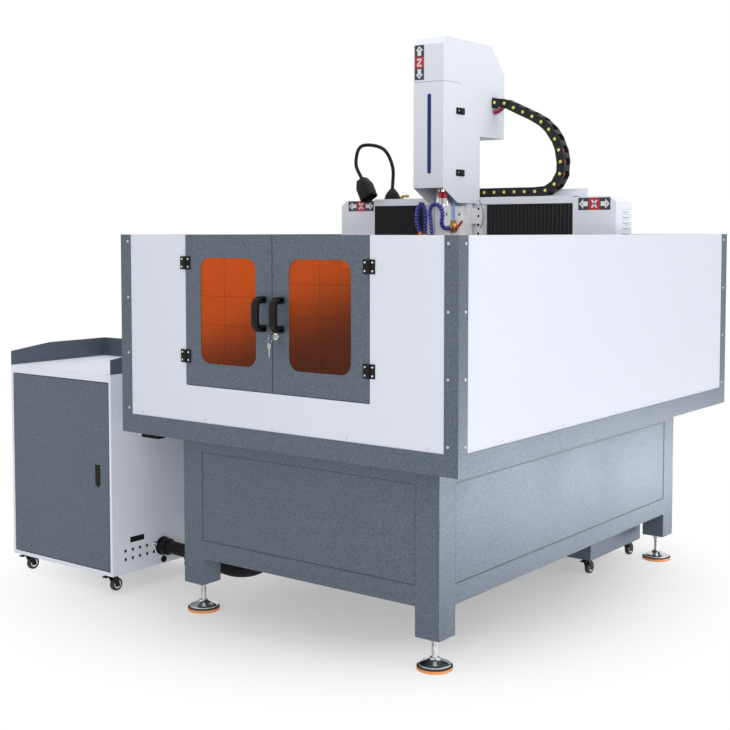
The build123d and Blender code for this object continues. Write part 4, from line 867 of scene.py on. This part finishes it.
# catches on both sides of the tower's front cover
catchLook = {"y": -18.0, "heights": (1581.0, 1812.0), "length": 56.0, "rise": 25.0, "round": 4.0, "thick": 3.0,
             "face": 67.0, "lever": ((-8, -8, 2.5), (20, 8, 9.0)), "hook": ((-23, -6, 2.5), (-12, 6, 6)),
             "rivet": [(3.2, 5.5), (3.2, 7.4), (2.4, 7.8), (closed, 7.8)], "rivetX": -17.0}


def addCatches(look):
    form = Form()
    for side in (-1, 1):
        for z in look["heights"]:
            place = aimed((side * look["face"], look["y"], z), (side, 0, 0), (0, 1, 0))
            form.prism(roundedOutline(look["length"], look["rise"], look["round"]), look["thick"], 0, place)
            form.box(*look["lever"], 2.0, 0, place)
            form.box(*look["hook"], 1.2, 0, place)
            form.lathe(look["rivet"], 12, 1, place @ Matrix.Translation((look["rivetX"], 0, 0)))
    form.piece("tower_catches", "blackPlastic zincPlate", "x_carriage", "black_plastic")


addCatches(catchLook)
print("signs and catches added")

# segmented coolant hoses: beads along each hose's own line
hoseLook = {"bead": 12.5, "radius": 8.4, "waist": 4.8, "nozzle": 22.0, "tip": 3.2,
            "block": ((-34, -123, 1332), (-16, -90, 1350)),
            "outlet": [(53, -67, 1374), (53, -104, 1374), (57, -126, 1392), (60, -126, 1434), (36, -126, 1462),
                       (6, -126, 1450), (8, -126, 1400), (14, -126, 1342)],
            "loop": [(-25, -114, 1350), (-25, -114, 1432), (-42, -114, 1468), (-62, -114, 1436), (-62, -114, 1388),
                     (-50, -114, 1356)]}


def addHoses(look):
    form = Form()
    r, w, tip, long = look["radius"], look["waist"], look["tip"], look["nozzle"]
    nozzle = [(r * 0.9, -1), (r * 0.95, 4), (tip * 1.25, long * 0.7), (tip, long), (tip * 0.55, long), (tip * 0.5, 4),
              (closed, 4)]
    for route in (look["outlet"], look["loop"]):
        steps = evenSteps(smoothLine(route, 10), look["bead"])
        for a, b in zip(steps, steps[1:]):
            length = (b - a).length
            bead = [(w, 0), (r * 0.86, length * 0.12), (r, length * 0.38), (r * 0.96, length * 0.7),
                    (w, length * 0.92), (w, length)]
            form.lathe(bead, 16, 0, aimed(a, b - a))
        before, end = Vector(route[-2]), Vector(route[-1])
        form.lathe(nozzle, 16, 1, aimed(end, (end - before).normalized()))
    form.box(*look["block"], 1.5, 2)
    form.piece("segmented_hoses", "hoseBlue nozzleOrange castBrass", "z_carriage", "blue_hose", "coolant_hoses")


addHoses(hoseLook)

# brass valve body with its hexagon unions and the pale feed tube
valveLook = {"place": (53.0, -37.5, 1374.0), "block": ((-10, -11, -11), (9, 11, 11)), "tube": 4.0,
             "tubeLine": [(0, 0, 28), (0, 0, 80), (-2, 3, 126)],
             "barrel": [([(10, -18), (12, -14), (12, 14), (10, 18)], 20, 0, (0, 0, 0), (0, 0, 1))],
             "unions": [([(9, 0), (9.5, 1), (9.5, 11), (7, 12)], 6, 0, (0, 0, 18), (0, 0, 1)),
                        ([(9.5, 0), (9.5, 12), (8, 13)], 6, 0, (0, -17, 0), (0, -1, 0)),
                        ([(3, -2), (3, 9), (2.2, 9.6)], 12, 0, (10, 0, 0), (1, 0, 0))]}


def addValve(look):
    form = Form().turned(look["place"], look["barrel"]).boxAt(look["place"], look["block"], 2.0)
    form.turned(look["place"], look["unions"])
    form.tube([Vector(look["place"]) + Vector(p) for p in look["tubeLine"]], look["tube"], 12, 1)
    form.piece("brass_valve", "castBrass tubeBlue", "z_carriage", "brass", "coolant_valve")


addValve(valveLook)

# plugs on the spindle's wires under the tower, wires where the chain ends, a lead beside the saddle
wiringLook = {"plugs": ((24.0, -86.0), (44.0, -84.0)), "low": 1464.0, "wireTop": 1590.0, "plugWire": 3.0,
              "plugFoot": [(5, 0), (6.5, 2), (6.5, 20), (5, 22)], "plugCap": [(8, 22), (8.5, 24), (8.5, 42), (6, 46)],
              "clampBolts": (-71.0, 17.0), "boltX": 31.0, "boltZ": 1425.0,
              "boltHead": [(6.2, 0), (6.2, 7.4), (5.4, 8), (3.2, 8), (3.0, 4), (closed, 4)],
              "chainEnd": 1862.0, "chainFront": 214.0, "wireGap": 9.0, "wire": 3.6,
              "drops": ((0, 26), (0, 33), (1, 29), (1, 23)), "leadWire": 2.4,
              "lead": [(74, 104, 1482), (90, 98, 1462), (101, 94, 1428), (97, 96, 1396), (82, 103, 1376)],
              "holes": (1250.0, 1284.0, 1318.0, 1352.0, 1386.0, 1420.0, 1448.0), "holeX": 70.0, "holeY": 108.0,
              "hole": 5.2, "holeThick": 0.3}


def addWiring(look):
    plugs, wires = Form(), Form()
    for x, y in look["plugs"]:
        place = aimed((x, y, look["low"]), (0, 0, 1))
        plugs.lathe(look["plugFoot"], 14, 1, place)
        plugs.lathe(look["plugCap"], 14, 0, place)
        plugs.tube([(x, y, look["low"] + 44), (x, y, look["wireTop"])], look["plugWire"], 8)
    for side in (-1, 1):
        for y in look["clampBolts"]:
            plugs.lathe(look["boltHead"], 16, 2, aimed((side * look["boltX"], y, look["boltZ"]), (side, 0, 0)))
    plugs.piece("spindle_plugs", "redCable signWhite holeBlack", "z_carriage", "red_lever")
    for k, (skin, drop) in enumerate(look["drops"]):
        y, top = look["chainFront"] + look["wireGap"] * k, look["chainEnd"]
        path = [(112, y, top - 14), (98, y, top - drop), (84, y, top - drop - 6), (67, y, top - drop - 10)]
        wires.tube(smoothLine(path, 5), look["wire"], 8, skin)
    wires.tube(smoothLine(look["lead"], 6), look["leadWire"], 8, 2)
    # black discs at the holes in the tower: painted shade of the holes
    for side in (-1, 1):
        for z in look["holes"]:
            wires.lathe(disc(look["hole"], look["holeThick"]), 16, 3,
                        aimed((side * look["holeX"], look["holeY"], z), (0, -1, 0)))
    wires.piece("tower_wiring", "redCable blueCable wireGrey holeBlack", "x_carriage", "red_lever")


addWiring(wiringLook)
print("head dressed")

# work lamp: domed foot, ringed neck, shaded head
lampLook = {"foot": [(33, 1493), (33, 1499), (30.5, 1508), (25, 1518), (18, 1527), (12, 1534), (8, 1538)],
            "x": -397.0, "y": 186.0, "radius": 7.6, "ring": 4.0, "waist": 0.9,
            "neck": [(-397, 186, 1535), (-397, 186, 1628), (-438, 172, 1703), (-525, 142, 1714), (-535, 118, 1642),
                     (-493, 104, 1575)],
            "headTop": 44.0, "headWidth": 66.0, "headHeight": 94.0, "headDepth": 56.0, "headRound": 0.55}


def addLamp(look):
    form = Form()
    form.lathe(look["foot"], 28, 0, Matrix.Translation((look["x"], look["y"], 0)))
    steps = evenSteps(smoothLine(look["neck"], 12), look["ring"])
    form.tube(steps, [look["radius"] * (1.0 if i % 2 else look["waist"]) for i in range(len(steps))], 14)
    end, before = Vector(look["neck"][-1]), Vector(look["neck"][-2])
    place = aimed(end, end - before, Vector((0, 1, 0)).cross(before - end))
    top, wide, deep, tall = look["headTop"] / 2, look["headWidth"] / 2, look["headDepth"] / 2, look["headHeight"]
    rings = [(top * 0.5, deep * 0.4, 0), (top, deep * 0.75, 5), (wide * 0.98, deep * 0.98, tall * 0.36),
             (wide, deep, tall * 0.42), (wide, deep, tall), (wide * 0.86, deep * 0.82, tall),
             (wide * 0.8, deep * 0.76, tall - 9)]
    points = [(x, y, z) for rx, ry, z in rings
              for x, y in roundedOutline(2 * rx, 2 * ry, min(rx, ry) * look["headRound"])]
    form.add(points, ringFaces(len(rings), len(points) // len(rings)), 0, place)
    form.piece("gooseneck_lamp", "blackPlastic", "machine", "black_plastic", "work_lamp")


addLamp(lampLook)

# levelling feet: dished plates, threaded stems, nuts; two-colour pads
footLook = {"x": 503.0, "y": 820.0, "pad": 57.5, "padHeight": 14.0, "band": 10.0, "dish": 51.0, "dishHeight": 25.0,
            "stem": 10.0, "pitch": 2.5, "thread": 1.2, "top": 105.0, "nutHeight": 16.0}


def addFeet(look):
    steel, pads = Form(), Form()
    base, r, stem, pr, mid = look["padHeight"], look["dish"], look["stem"], look["pad"], look["band"]
    top, nutLow = look["top"], look["top"] - look["nutHeight"]
    z = base + look["dishHeight"]
    dish = [(r - 3, base), (r, base + 1), (r, base + 4), (r - 4, base + 7), (r - 16, base + 11), (r - 28, base + 16),
            (17, base + 21), (15, base + 24), (stem, z)]
    while z < nutLow:
        dish += [(stem, z), (stem - look["thread"], z + look["pitch"] / 2)]
        z += look["pitch"]
    dish += [(stem, top)]
    for sx in (-1, 1):
        for sy in (-1, 1):
            place = Matrix.Translation((sx * look["x"], sy * look["y"], 0))
            steel.lathe(dish, 32, 0, place)
            steel.lathe([(15, nutLow), (17, nutLow + 2), (17, top - 2), (15, top)], 6, 0, place)
            pads.lathe([(pr - 3, 0), (pr, 2), (pr, mid), (pr - 0.5, mid)], 40, 0, place)
            pads.lathe([(pr - 0.5, mid), (pr - 0.5, base - 1.5), (pr - 3, base), (r - 3, base)], 40, 1, place)
    steel.piece("levelling_stems", "brightNickel", "machine", "zinc", "levelling_feet")
    pads.piece("rubber_discs", "padOrange padDark", "machine", "rubber_pad", "foot_pads")


addFeet(footLook)

# caster wheels: tyre, bright ring and hub, on the swivel forks
wheelLook = {"radius": 25.0, "half": 9.5, "ring": 15.5, "hub": 7.0, "bore": 4.4, "axleZ": 25.0, "trail": 16.0,
             "x": {"left": -1434.0, "right": -934.0}, "y": {"front": -870.0, "rear": -481.0},
             "tankX": (-113.0, 383.0), "tankY": (436.0, 798.0), "floorGap": 1.0, "tall": 50.5}


def wheelForm(form, look, x, y):
    place = aimed((x, y + look["trail"], look["axleZ"]), (1, 0, 0), (0, 1, 0))
    r, h, ring, hub, bore = look["radius"], look["half"], look["ring"], look["hub"], look["bore"]
    tyre = [(ring, -h + 1), (ring + 3, -h), (r - 3, -h), (r - 0.8, -h + 1.6), (r, -h + 4), (r, h - 4),
            (r - 0.8, h - 1.6), (r - 3, h), (ring + 3, h), (ring, h - 1)]
    rim = [(hub, -h + 0.6), (ring - 2, -h - 0.2), (ring, -h + 0.2), (ring, h - 0.2), (ring - 2, h + 0.2),
           (hub, h - 0.6)]
    form.lathe(tyre, 32, 0, place)
    form.lathe(rim, 28, 1, place)
    form.lathe([(bore, -h), (hub, -h), (hub, h), (bore, h)], 20, 0, place)
    return form


def addWheels(look):
    for end, y in look["y"].items():
        for side, x in look["x"].items():
            wheel = f"wheel_{end}_{side}"
            wheelForm(Form(), look, x, y).piece(wheel, "rubberBlack brightNickel", wheel, "tyre_black",
                                                f"caster_{wheel}")
    frames, tyres = Form(), Form()
    for points, faces in nodeIslands("tank_casters"):
        low, high = islandBox(points)
        if low[2] >= look["floorGap"] or high[2] - low[2] >= look["tall"]:  # all but the plain wheels
            frames.add(points, faces)
    for x in look["tankX"]:
        for y in look["tankY"]:
            wheelForm(tyres, look, x, y)
    frames.piece("tank_caster_forks", "blackPlastic", "machine", "tyre_black", "tank_casters", metres=True)
    tyres.piece("tank_caster_wheels", "rubberBlack brightNickel", "machine", "tyre_black")


addWheels(wheelLook)
print("feet and wheels added")

# sockets, a black sheet behind the cabinet's vents as painted shade of their inside, and the small bracket under the
# tray
socketLook = {"face": (-888.0, 0.0, 0.0), "ventShade": ((-894, -860, 108), (-891, -712, 214)),
              "bracket": ((-640, -985, 634), (-556, -950, 652)),
              "sockets": [([(9, -1), (9, 3), (6.4, 4), (6.4, 9), (4.6, 9), (4.4, 5), (closed, 5)], 16, 0,
                           (0, -701, 156), (1, 0, 0)),
                          ([(13, -1), (13, 4), (11, 6), (8, 6), (7.6, 2), (closed, 2)], 20, 1,
                           (0, -653, 86), (1, 0, 0))]}


def addSockets(look):
    form = Form().turned(look["face"], look["sockets"])
    form.box(*look["ventShade"], 0, 1).box(*look["bracket"], 2.0, 1)
    form.piece("cabinet_sockets", "brightNickel holeBlack", "machine", "black_plastic")


addSockets(socketLook)

# control gear on the cabinet's mounting plate: finned drives, a perforated supply, a slotted duct and wires
gearLook = {"skins": "zincPlate blackPlastic wireGrey terminalGreen holeBlack redCable blueCable",
            "plateHeight": 400.0, "driveHeight": 150.0, "terminal": (62.0, 11.0, 15.0), "ways": 6, "screw": 3.0,
            "screwThick": 0.5, "fin": 3.0, "finPitch": 13.0, "finInset": 8.0, "facePlate": (14.0, 52.0, 48.0),
            "display": (22.0, 84.0, 66.0), "driveTop": 32.0, "driveFoot": 16.0, "supplyFoot": 8.0,
            "ductLow": 392.0, "ductHigh": 432.0, "ductDepth": 38.0, "ductInset": 24.0, "ductMiddle": 19.0,
            "finger": 9.0, "fingerPitch": 14.0, "hole": 3.2, "holePitch": 13.0, "holeRoom": (30.0, 44.0),
            "holeLow": 34.0, "wire": 1.8, "wireSkins": (5, 6, 1, 2, 5, 6)}


def addTerminals(form, look, x, y, z):
    wide, deep, tall = look["terminal"]
    form.box((x - wide / 2, y, z), (x + wide / 2, y + deep + 1, z + tall), 1.0, 3)
    ways = [x + wide * ((k + 0.5) / look["ways"] - 0.5) for k in range(look["ways"])]
    for way in ways:
        form.lathe(disc(look["screw"], look["screwThick"]), 10, 0, aimed((way, y, z + tall / 2), (0, -1, 0)))
    return ways


def addWires(form, look, ways, run):
    for way, skin in zip(ways, look["wireSkins"]):
        form.tube(smoothLine([(way, y, z) for y, z in run], 6), look["wire"], 8, skin)


def addDrive(form, look, low, high, mount):
    (x0, y0, z0), (x1, y1, z1) = low, high
    x, y, front, fin = (x0 + x1) / 2, (y0 + y1) / 2, y0 + look["terminal"][1], look["fin"]
    form.box((x0 + fin, front, z0), (x1 - fin, y1, z1), 2.5, 1)
    side, foot, head = look["facePlate"]
    form.box((x0 + side, front - 1, z0 + foot), (x1 - side, front + 1, z1 - head), 0.4, 2)
    side, foot, head = look["display"]
    form.box((x0 + side, front - 1.6, z1 - foot), (x1 - side, front, z1 - head), 0.3, 4)
    duct, fins = look["ductHigh"], y
    while fins + fin < y1:
        form.box((x0, fins, z0 + look["finInset"]), (x1, fins + fin, z1 - look["finInset"]), 0.4, 0)
        fins += look["finPitch"]
    addTerminals(form, look, x, y0, z1 - look["driveTop"])
    addWires(form, look, addTerminals(form, look, x, y0, z0 + look["driveFoot"]),
             [(y0 + 5, z0 + 18), (y0 + 6, z0 - 4), ((y0 + mount) / 2, duct + 14),
              (mount - look["ductMiddle"], duct - 6)])


def addSupply(form, look, low, high, mount):
    (x0, y0, z0), (x1, y1, z1) = low, high
    x, front, pitch = (x0 + x1) / 2, y0 + look["terminal"][1], look["holePitch"]
    form.box((x0, front, z0), (x1, y1, z1), 1.5, 0)
    across, up = [int((room - spare) / pitch) for room, spare in zip((x1 - x0, z1 - z0), look["holeRoom"])]
    # the perforations are black discs: painted shade of the holes
    for i in range(across + 1):
        for k in range(up + 1):
            place = (x + (i - across / 2) * pitch, front, z0 + look["holeLow"] + k * pitch)
            form.lathe(disc(look["hole"], sunk), 10, 4, aimed(place, (0, -1, 0)))
    addWires(form, look, addTerminals(form, look, x, y0, z0 + look["supplyFoot"]),
             [(y1 - 14, z1 - 4), (y1 - 18, z1 + 22), (mount - look["ductMiddle"], look["ductLow"] + 6)])


def addDuct(form, look, left, right, mount):
    low, high, front = look["ductLow"], look["ductHigh"], mount - look["ductDepth"]
    form.box((left, front, low + 2), (right, front + 3, high - 2), 0.6, 2)
    # a black box inside the duct: painted shade behind its slots
    form.box((left + 1, front + 4, low + 3), (right - 1, mount, high - 3), 0, 4)
    x = left
    while x + look["finger"] < right:
        for z in (low, high - 2):
            form.box((x, front + 1, z), (x + look["finger"], mount, z + 2), 0, 2)
        x += look["fingerPitch"]


def addControlGear(look):
    form = Form()
    solids = [(points, faces, *islandBox(points)) for points, faces in nodeIslands("control_plate")]
    mount = max(solids, key=lambda solid: solid[3][2] - solid[2][2])[2][1]  # front of the tall plate
    for points, faces, low, high in solids:
        tall = high[2] - low[2]
        if tall > look["plateHeight"]:
            form.add([benchPoint(p) for p in points], faces)
            addDuct(form, look, low[0] + look["ductInset"], high[0] - look["ductInset"], mount)
        elif tall > look["driveHeight"]:
            addDrive(form, look, low, high, mount)
        else:
            addSupply(form, look, low, high, mount)
    form.piece("control_gear", look["skins"], "machine", "zinc", "control_plate")


addControlGear(gearLook)

# pressed hoods over the slots in the beam's end housings
louvreLook = {"face": 631.0, "front": 199.0, "rear": 249.0, "top": 1436.0, "pitch": 20.0, "count": 5,
              "hood": ((0.0, 7.0), (3.6, 0.0), (4.2, -4.0), (3.4, -4.0), (0.0, -3.0))}


def addLouvres(look):
    form = Form()
    turn = Matrix(((1, 0, 0, 0), (0, 0, -1, look["rear"]), (0, 1, 0, 0), (0, 0, 0, 1)))  # outline in x and z
    for side in (-1, 1):
        for i in range(look["count"]):
            z = look["top"] - i * look["pitch"]
            outline = [(side * (look["face"] + u), z + v) for u, v in look["hood"]]
            form.prism(outline, look["rear"] - look["front"], 0, turn)
    form.piece("louvre_hoods", "coverWhite", "machine", "white_paint")


addLouvres(louvreLook)

# dark strips along the weld seams round the base's infill panels: painted shade of the narrow gaps there
seamLook = {"halfX": 550.0, "halfY": 867.0, "leg": 90.0, "low": 266.0, "high": 584.0, "recess": 1.5, "line": 2.6,
            "sunk": 0.2, "proud": 0.5}


def addSeams(look):
    form = Form()
    line, low, high, x, y = look["line"], look["low"], look["high"], look["halfX"], look["halfY"]
    for side, half, run in ((-1, x, y), (1, x, y), (-1, y, x)):
        along, face = run - look["leg"], half - look["recess"]
        near, far = sorted((side * (face - look["sunk"]), side * (face + look["proud"])))
        for a0, a1, z0, z1 in ((-along, along, high - line, high), (-along, along, low, low + line),
                               (-along, line - along, low, high), (along - line, along, low, high)):
            if half == x:
                form.box((near, a0, z0), (far, a1, z1))
            else:
                form.box((a0, near, z0), (a1, far, z1))
    form.piece("infill_seam_shade", "seamGrey", "machine", "hammer_paint")


addSeams(seamLook)

# brass elbow for the coolant line beside the lamp
elbowLook = {"place": (-353.0, 192.0, 1493.0), "radius": 5.0, "bend": [(0, 0, 6), (0, 0, 9), (5, 0, 12), (24, 0, 12)],
             "foot": [([(8.5, 0), (8.5, 6), (7, 7), (6, 10)], 6, 0, (0, 0, 0), (0, 0, 1))],
             "nut": [([(7, 0), (7, 10), (5, 11)], 6, 0, (22, 0, 12), (1, 0, 0))]}


def addElbow(look):
    form = Form().turned(look["place"], look["foot"])
    form.tube(smoothLine([Vector(look["place"]) + Vector(p) for p in look["bend"]], 5), look["radius"])
    form.turned(look["place"], look["nut"]).piece("coolant_elbow", "castBrass", "machine", "brass")


addElbow(elbowLook)
print("small fittings added")

# floor and light
stageLook = {"floorColor": (0.86, 0.865, 0.87, 1), "floorSize": 40.0, "floorRough": 0.7, "floorSpecular": 0.1,
             "nearWhite": 0.38, "nearReach": 0.8, "farReach": 1.6, "skyTop": white, "skyLow": (0.5, 0.51, 0.53, 1),
             "skyBand": (-0.25, 0.55), "skyStrength": 0.7}
lampLooks = {
    "sideSheen": {"place": (2.05, 1.5, 0.13), "aim": (0.9, 1.2, 0.3), "size": 3.0, "height": 0.24, "power": 30.0,
                  "sheenOnly": True},
    "keyRight": {"place": (8.6, 0.6, 3.8), "aim": (0.4, 0.0, 0.9), "size": 6.0, "height": 6.0, "power": 170.0},
    "frontFill": {"place": (5.2, -8.6, 3.0), "aim": (-0.3, 0.0, 0.9), "size": 5.0, "height": 4.6, "power": 240.0},
    "lowFill": {"place": (4.2, -2.6, 0.45), "aim": (-0.5, -0.75, 0.35), "size": 1.6, "height": 0.6, "power": 16.0},
    "topSoft": {"place": (0.2, 0.2, 5.6), "aim": (0.2, 0.0, 0.8), "size": 4.5, "height": 4.5, "power": 76.0},
}


def seenDirectly(tree):
    # camera, mirror and glass rays see the plain white room
    path = addNode(tree, "ShaderNodeLightPath").outputs
    seen = path["Is Camera Ray"]
    for other in ("Is Glossy Ray", "Is Transmission Ray"):
        seen = calc(tree, "MAXIMUM", seen, path[other])
    return seen


def addStage(look):
    tree, shader = newMaterial("paleFloor", {"Base Color": look["floorColor"], "Roughness": look["floorRough"],
                                             "Specular IOR Level": look["floorSpecular"]})
    glow = addNode(tree, "ShaderNodeEmission", {"Color": white, "Strength": 1.0})
    away = addNode(tree, "ShaderNodeVectorMath", {0: objectPlace(tree)}, operation="LENGTH").outputs["Value"]
    fade = mapRange(tree, away, look["nearReach"], look["farReach"], look["nearWhite"], 1.0,
                    interpolation_type="SMOOTHSTEP")
    share = calc(tree, "MULTIPLY", seenDirectly(tree), fade)
    showMix(tree, "Material Output", share, shader.outputs[0], glow.outputs[0])
    corners = [(x, y, 0) for x, y in plainOutline(look["floorSize"], look["floorSize"])]
    Form().add(corners, [(0, 1, 2, 3)]).piece("floor", "paleFloor", None, None, metres=True)


def addSky(look):
    scene.world = bpy.data.worlds.new("studio")
    scene.world.use_nodes = True
    tree = scene.world.node_tree
    up = addNode(tree, "ShaderNodeTexCoord").outputs["Generated"]
    rise = mapRange(tree, addNode(tree, "ShaderNodeSeparateXYZ", {0: up}).outputs["Z"], *look["skyBand"])
    light = tree.nodes["Background"]
    feed(tree, light, {"Color": mixColor(tree, rise, look["skyLow"], look["skyTop"]), "Strength": look["skyStrength"]})
    room = addNode(tree, "ShaderNodeBackground", {"Color": white, "Strength": 1.0})
    showMix(tree, "World Output", seenDirectly(tree), light.outputs[0], room.outputs[0])


def addLights(looks):
    for name, look in looks.items():
        data = bpy.data.lights.new(name, "AREA")
        data.shape = "RECTANGLE"
        data.size, data.size_y = look["size"], look["height"]
        data.energy = look["power"]
        lamp = bpy.data.objects.new(name, data)
        lamp.visible_diffuse = not look.get("sheenOnly", False)
        lamp.location = look["place"]
        lamp.rotation_euler = (Vector(look["aim"]) - Vector(look["place"])).to_track_quat("-Z", "Y").to_euler()
        scene.collection.objects.link(lamp)


addStage(stageLook)
addSky(stageLook)
addLights(lampLooks)
scene.view_settings.view_transform = "Standard"
print("stage lit")
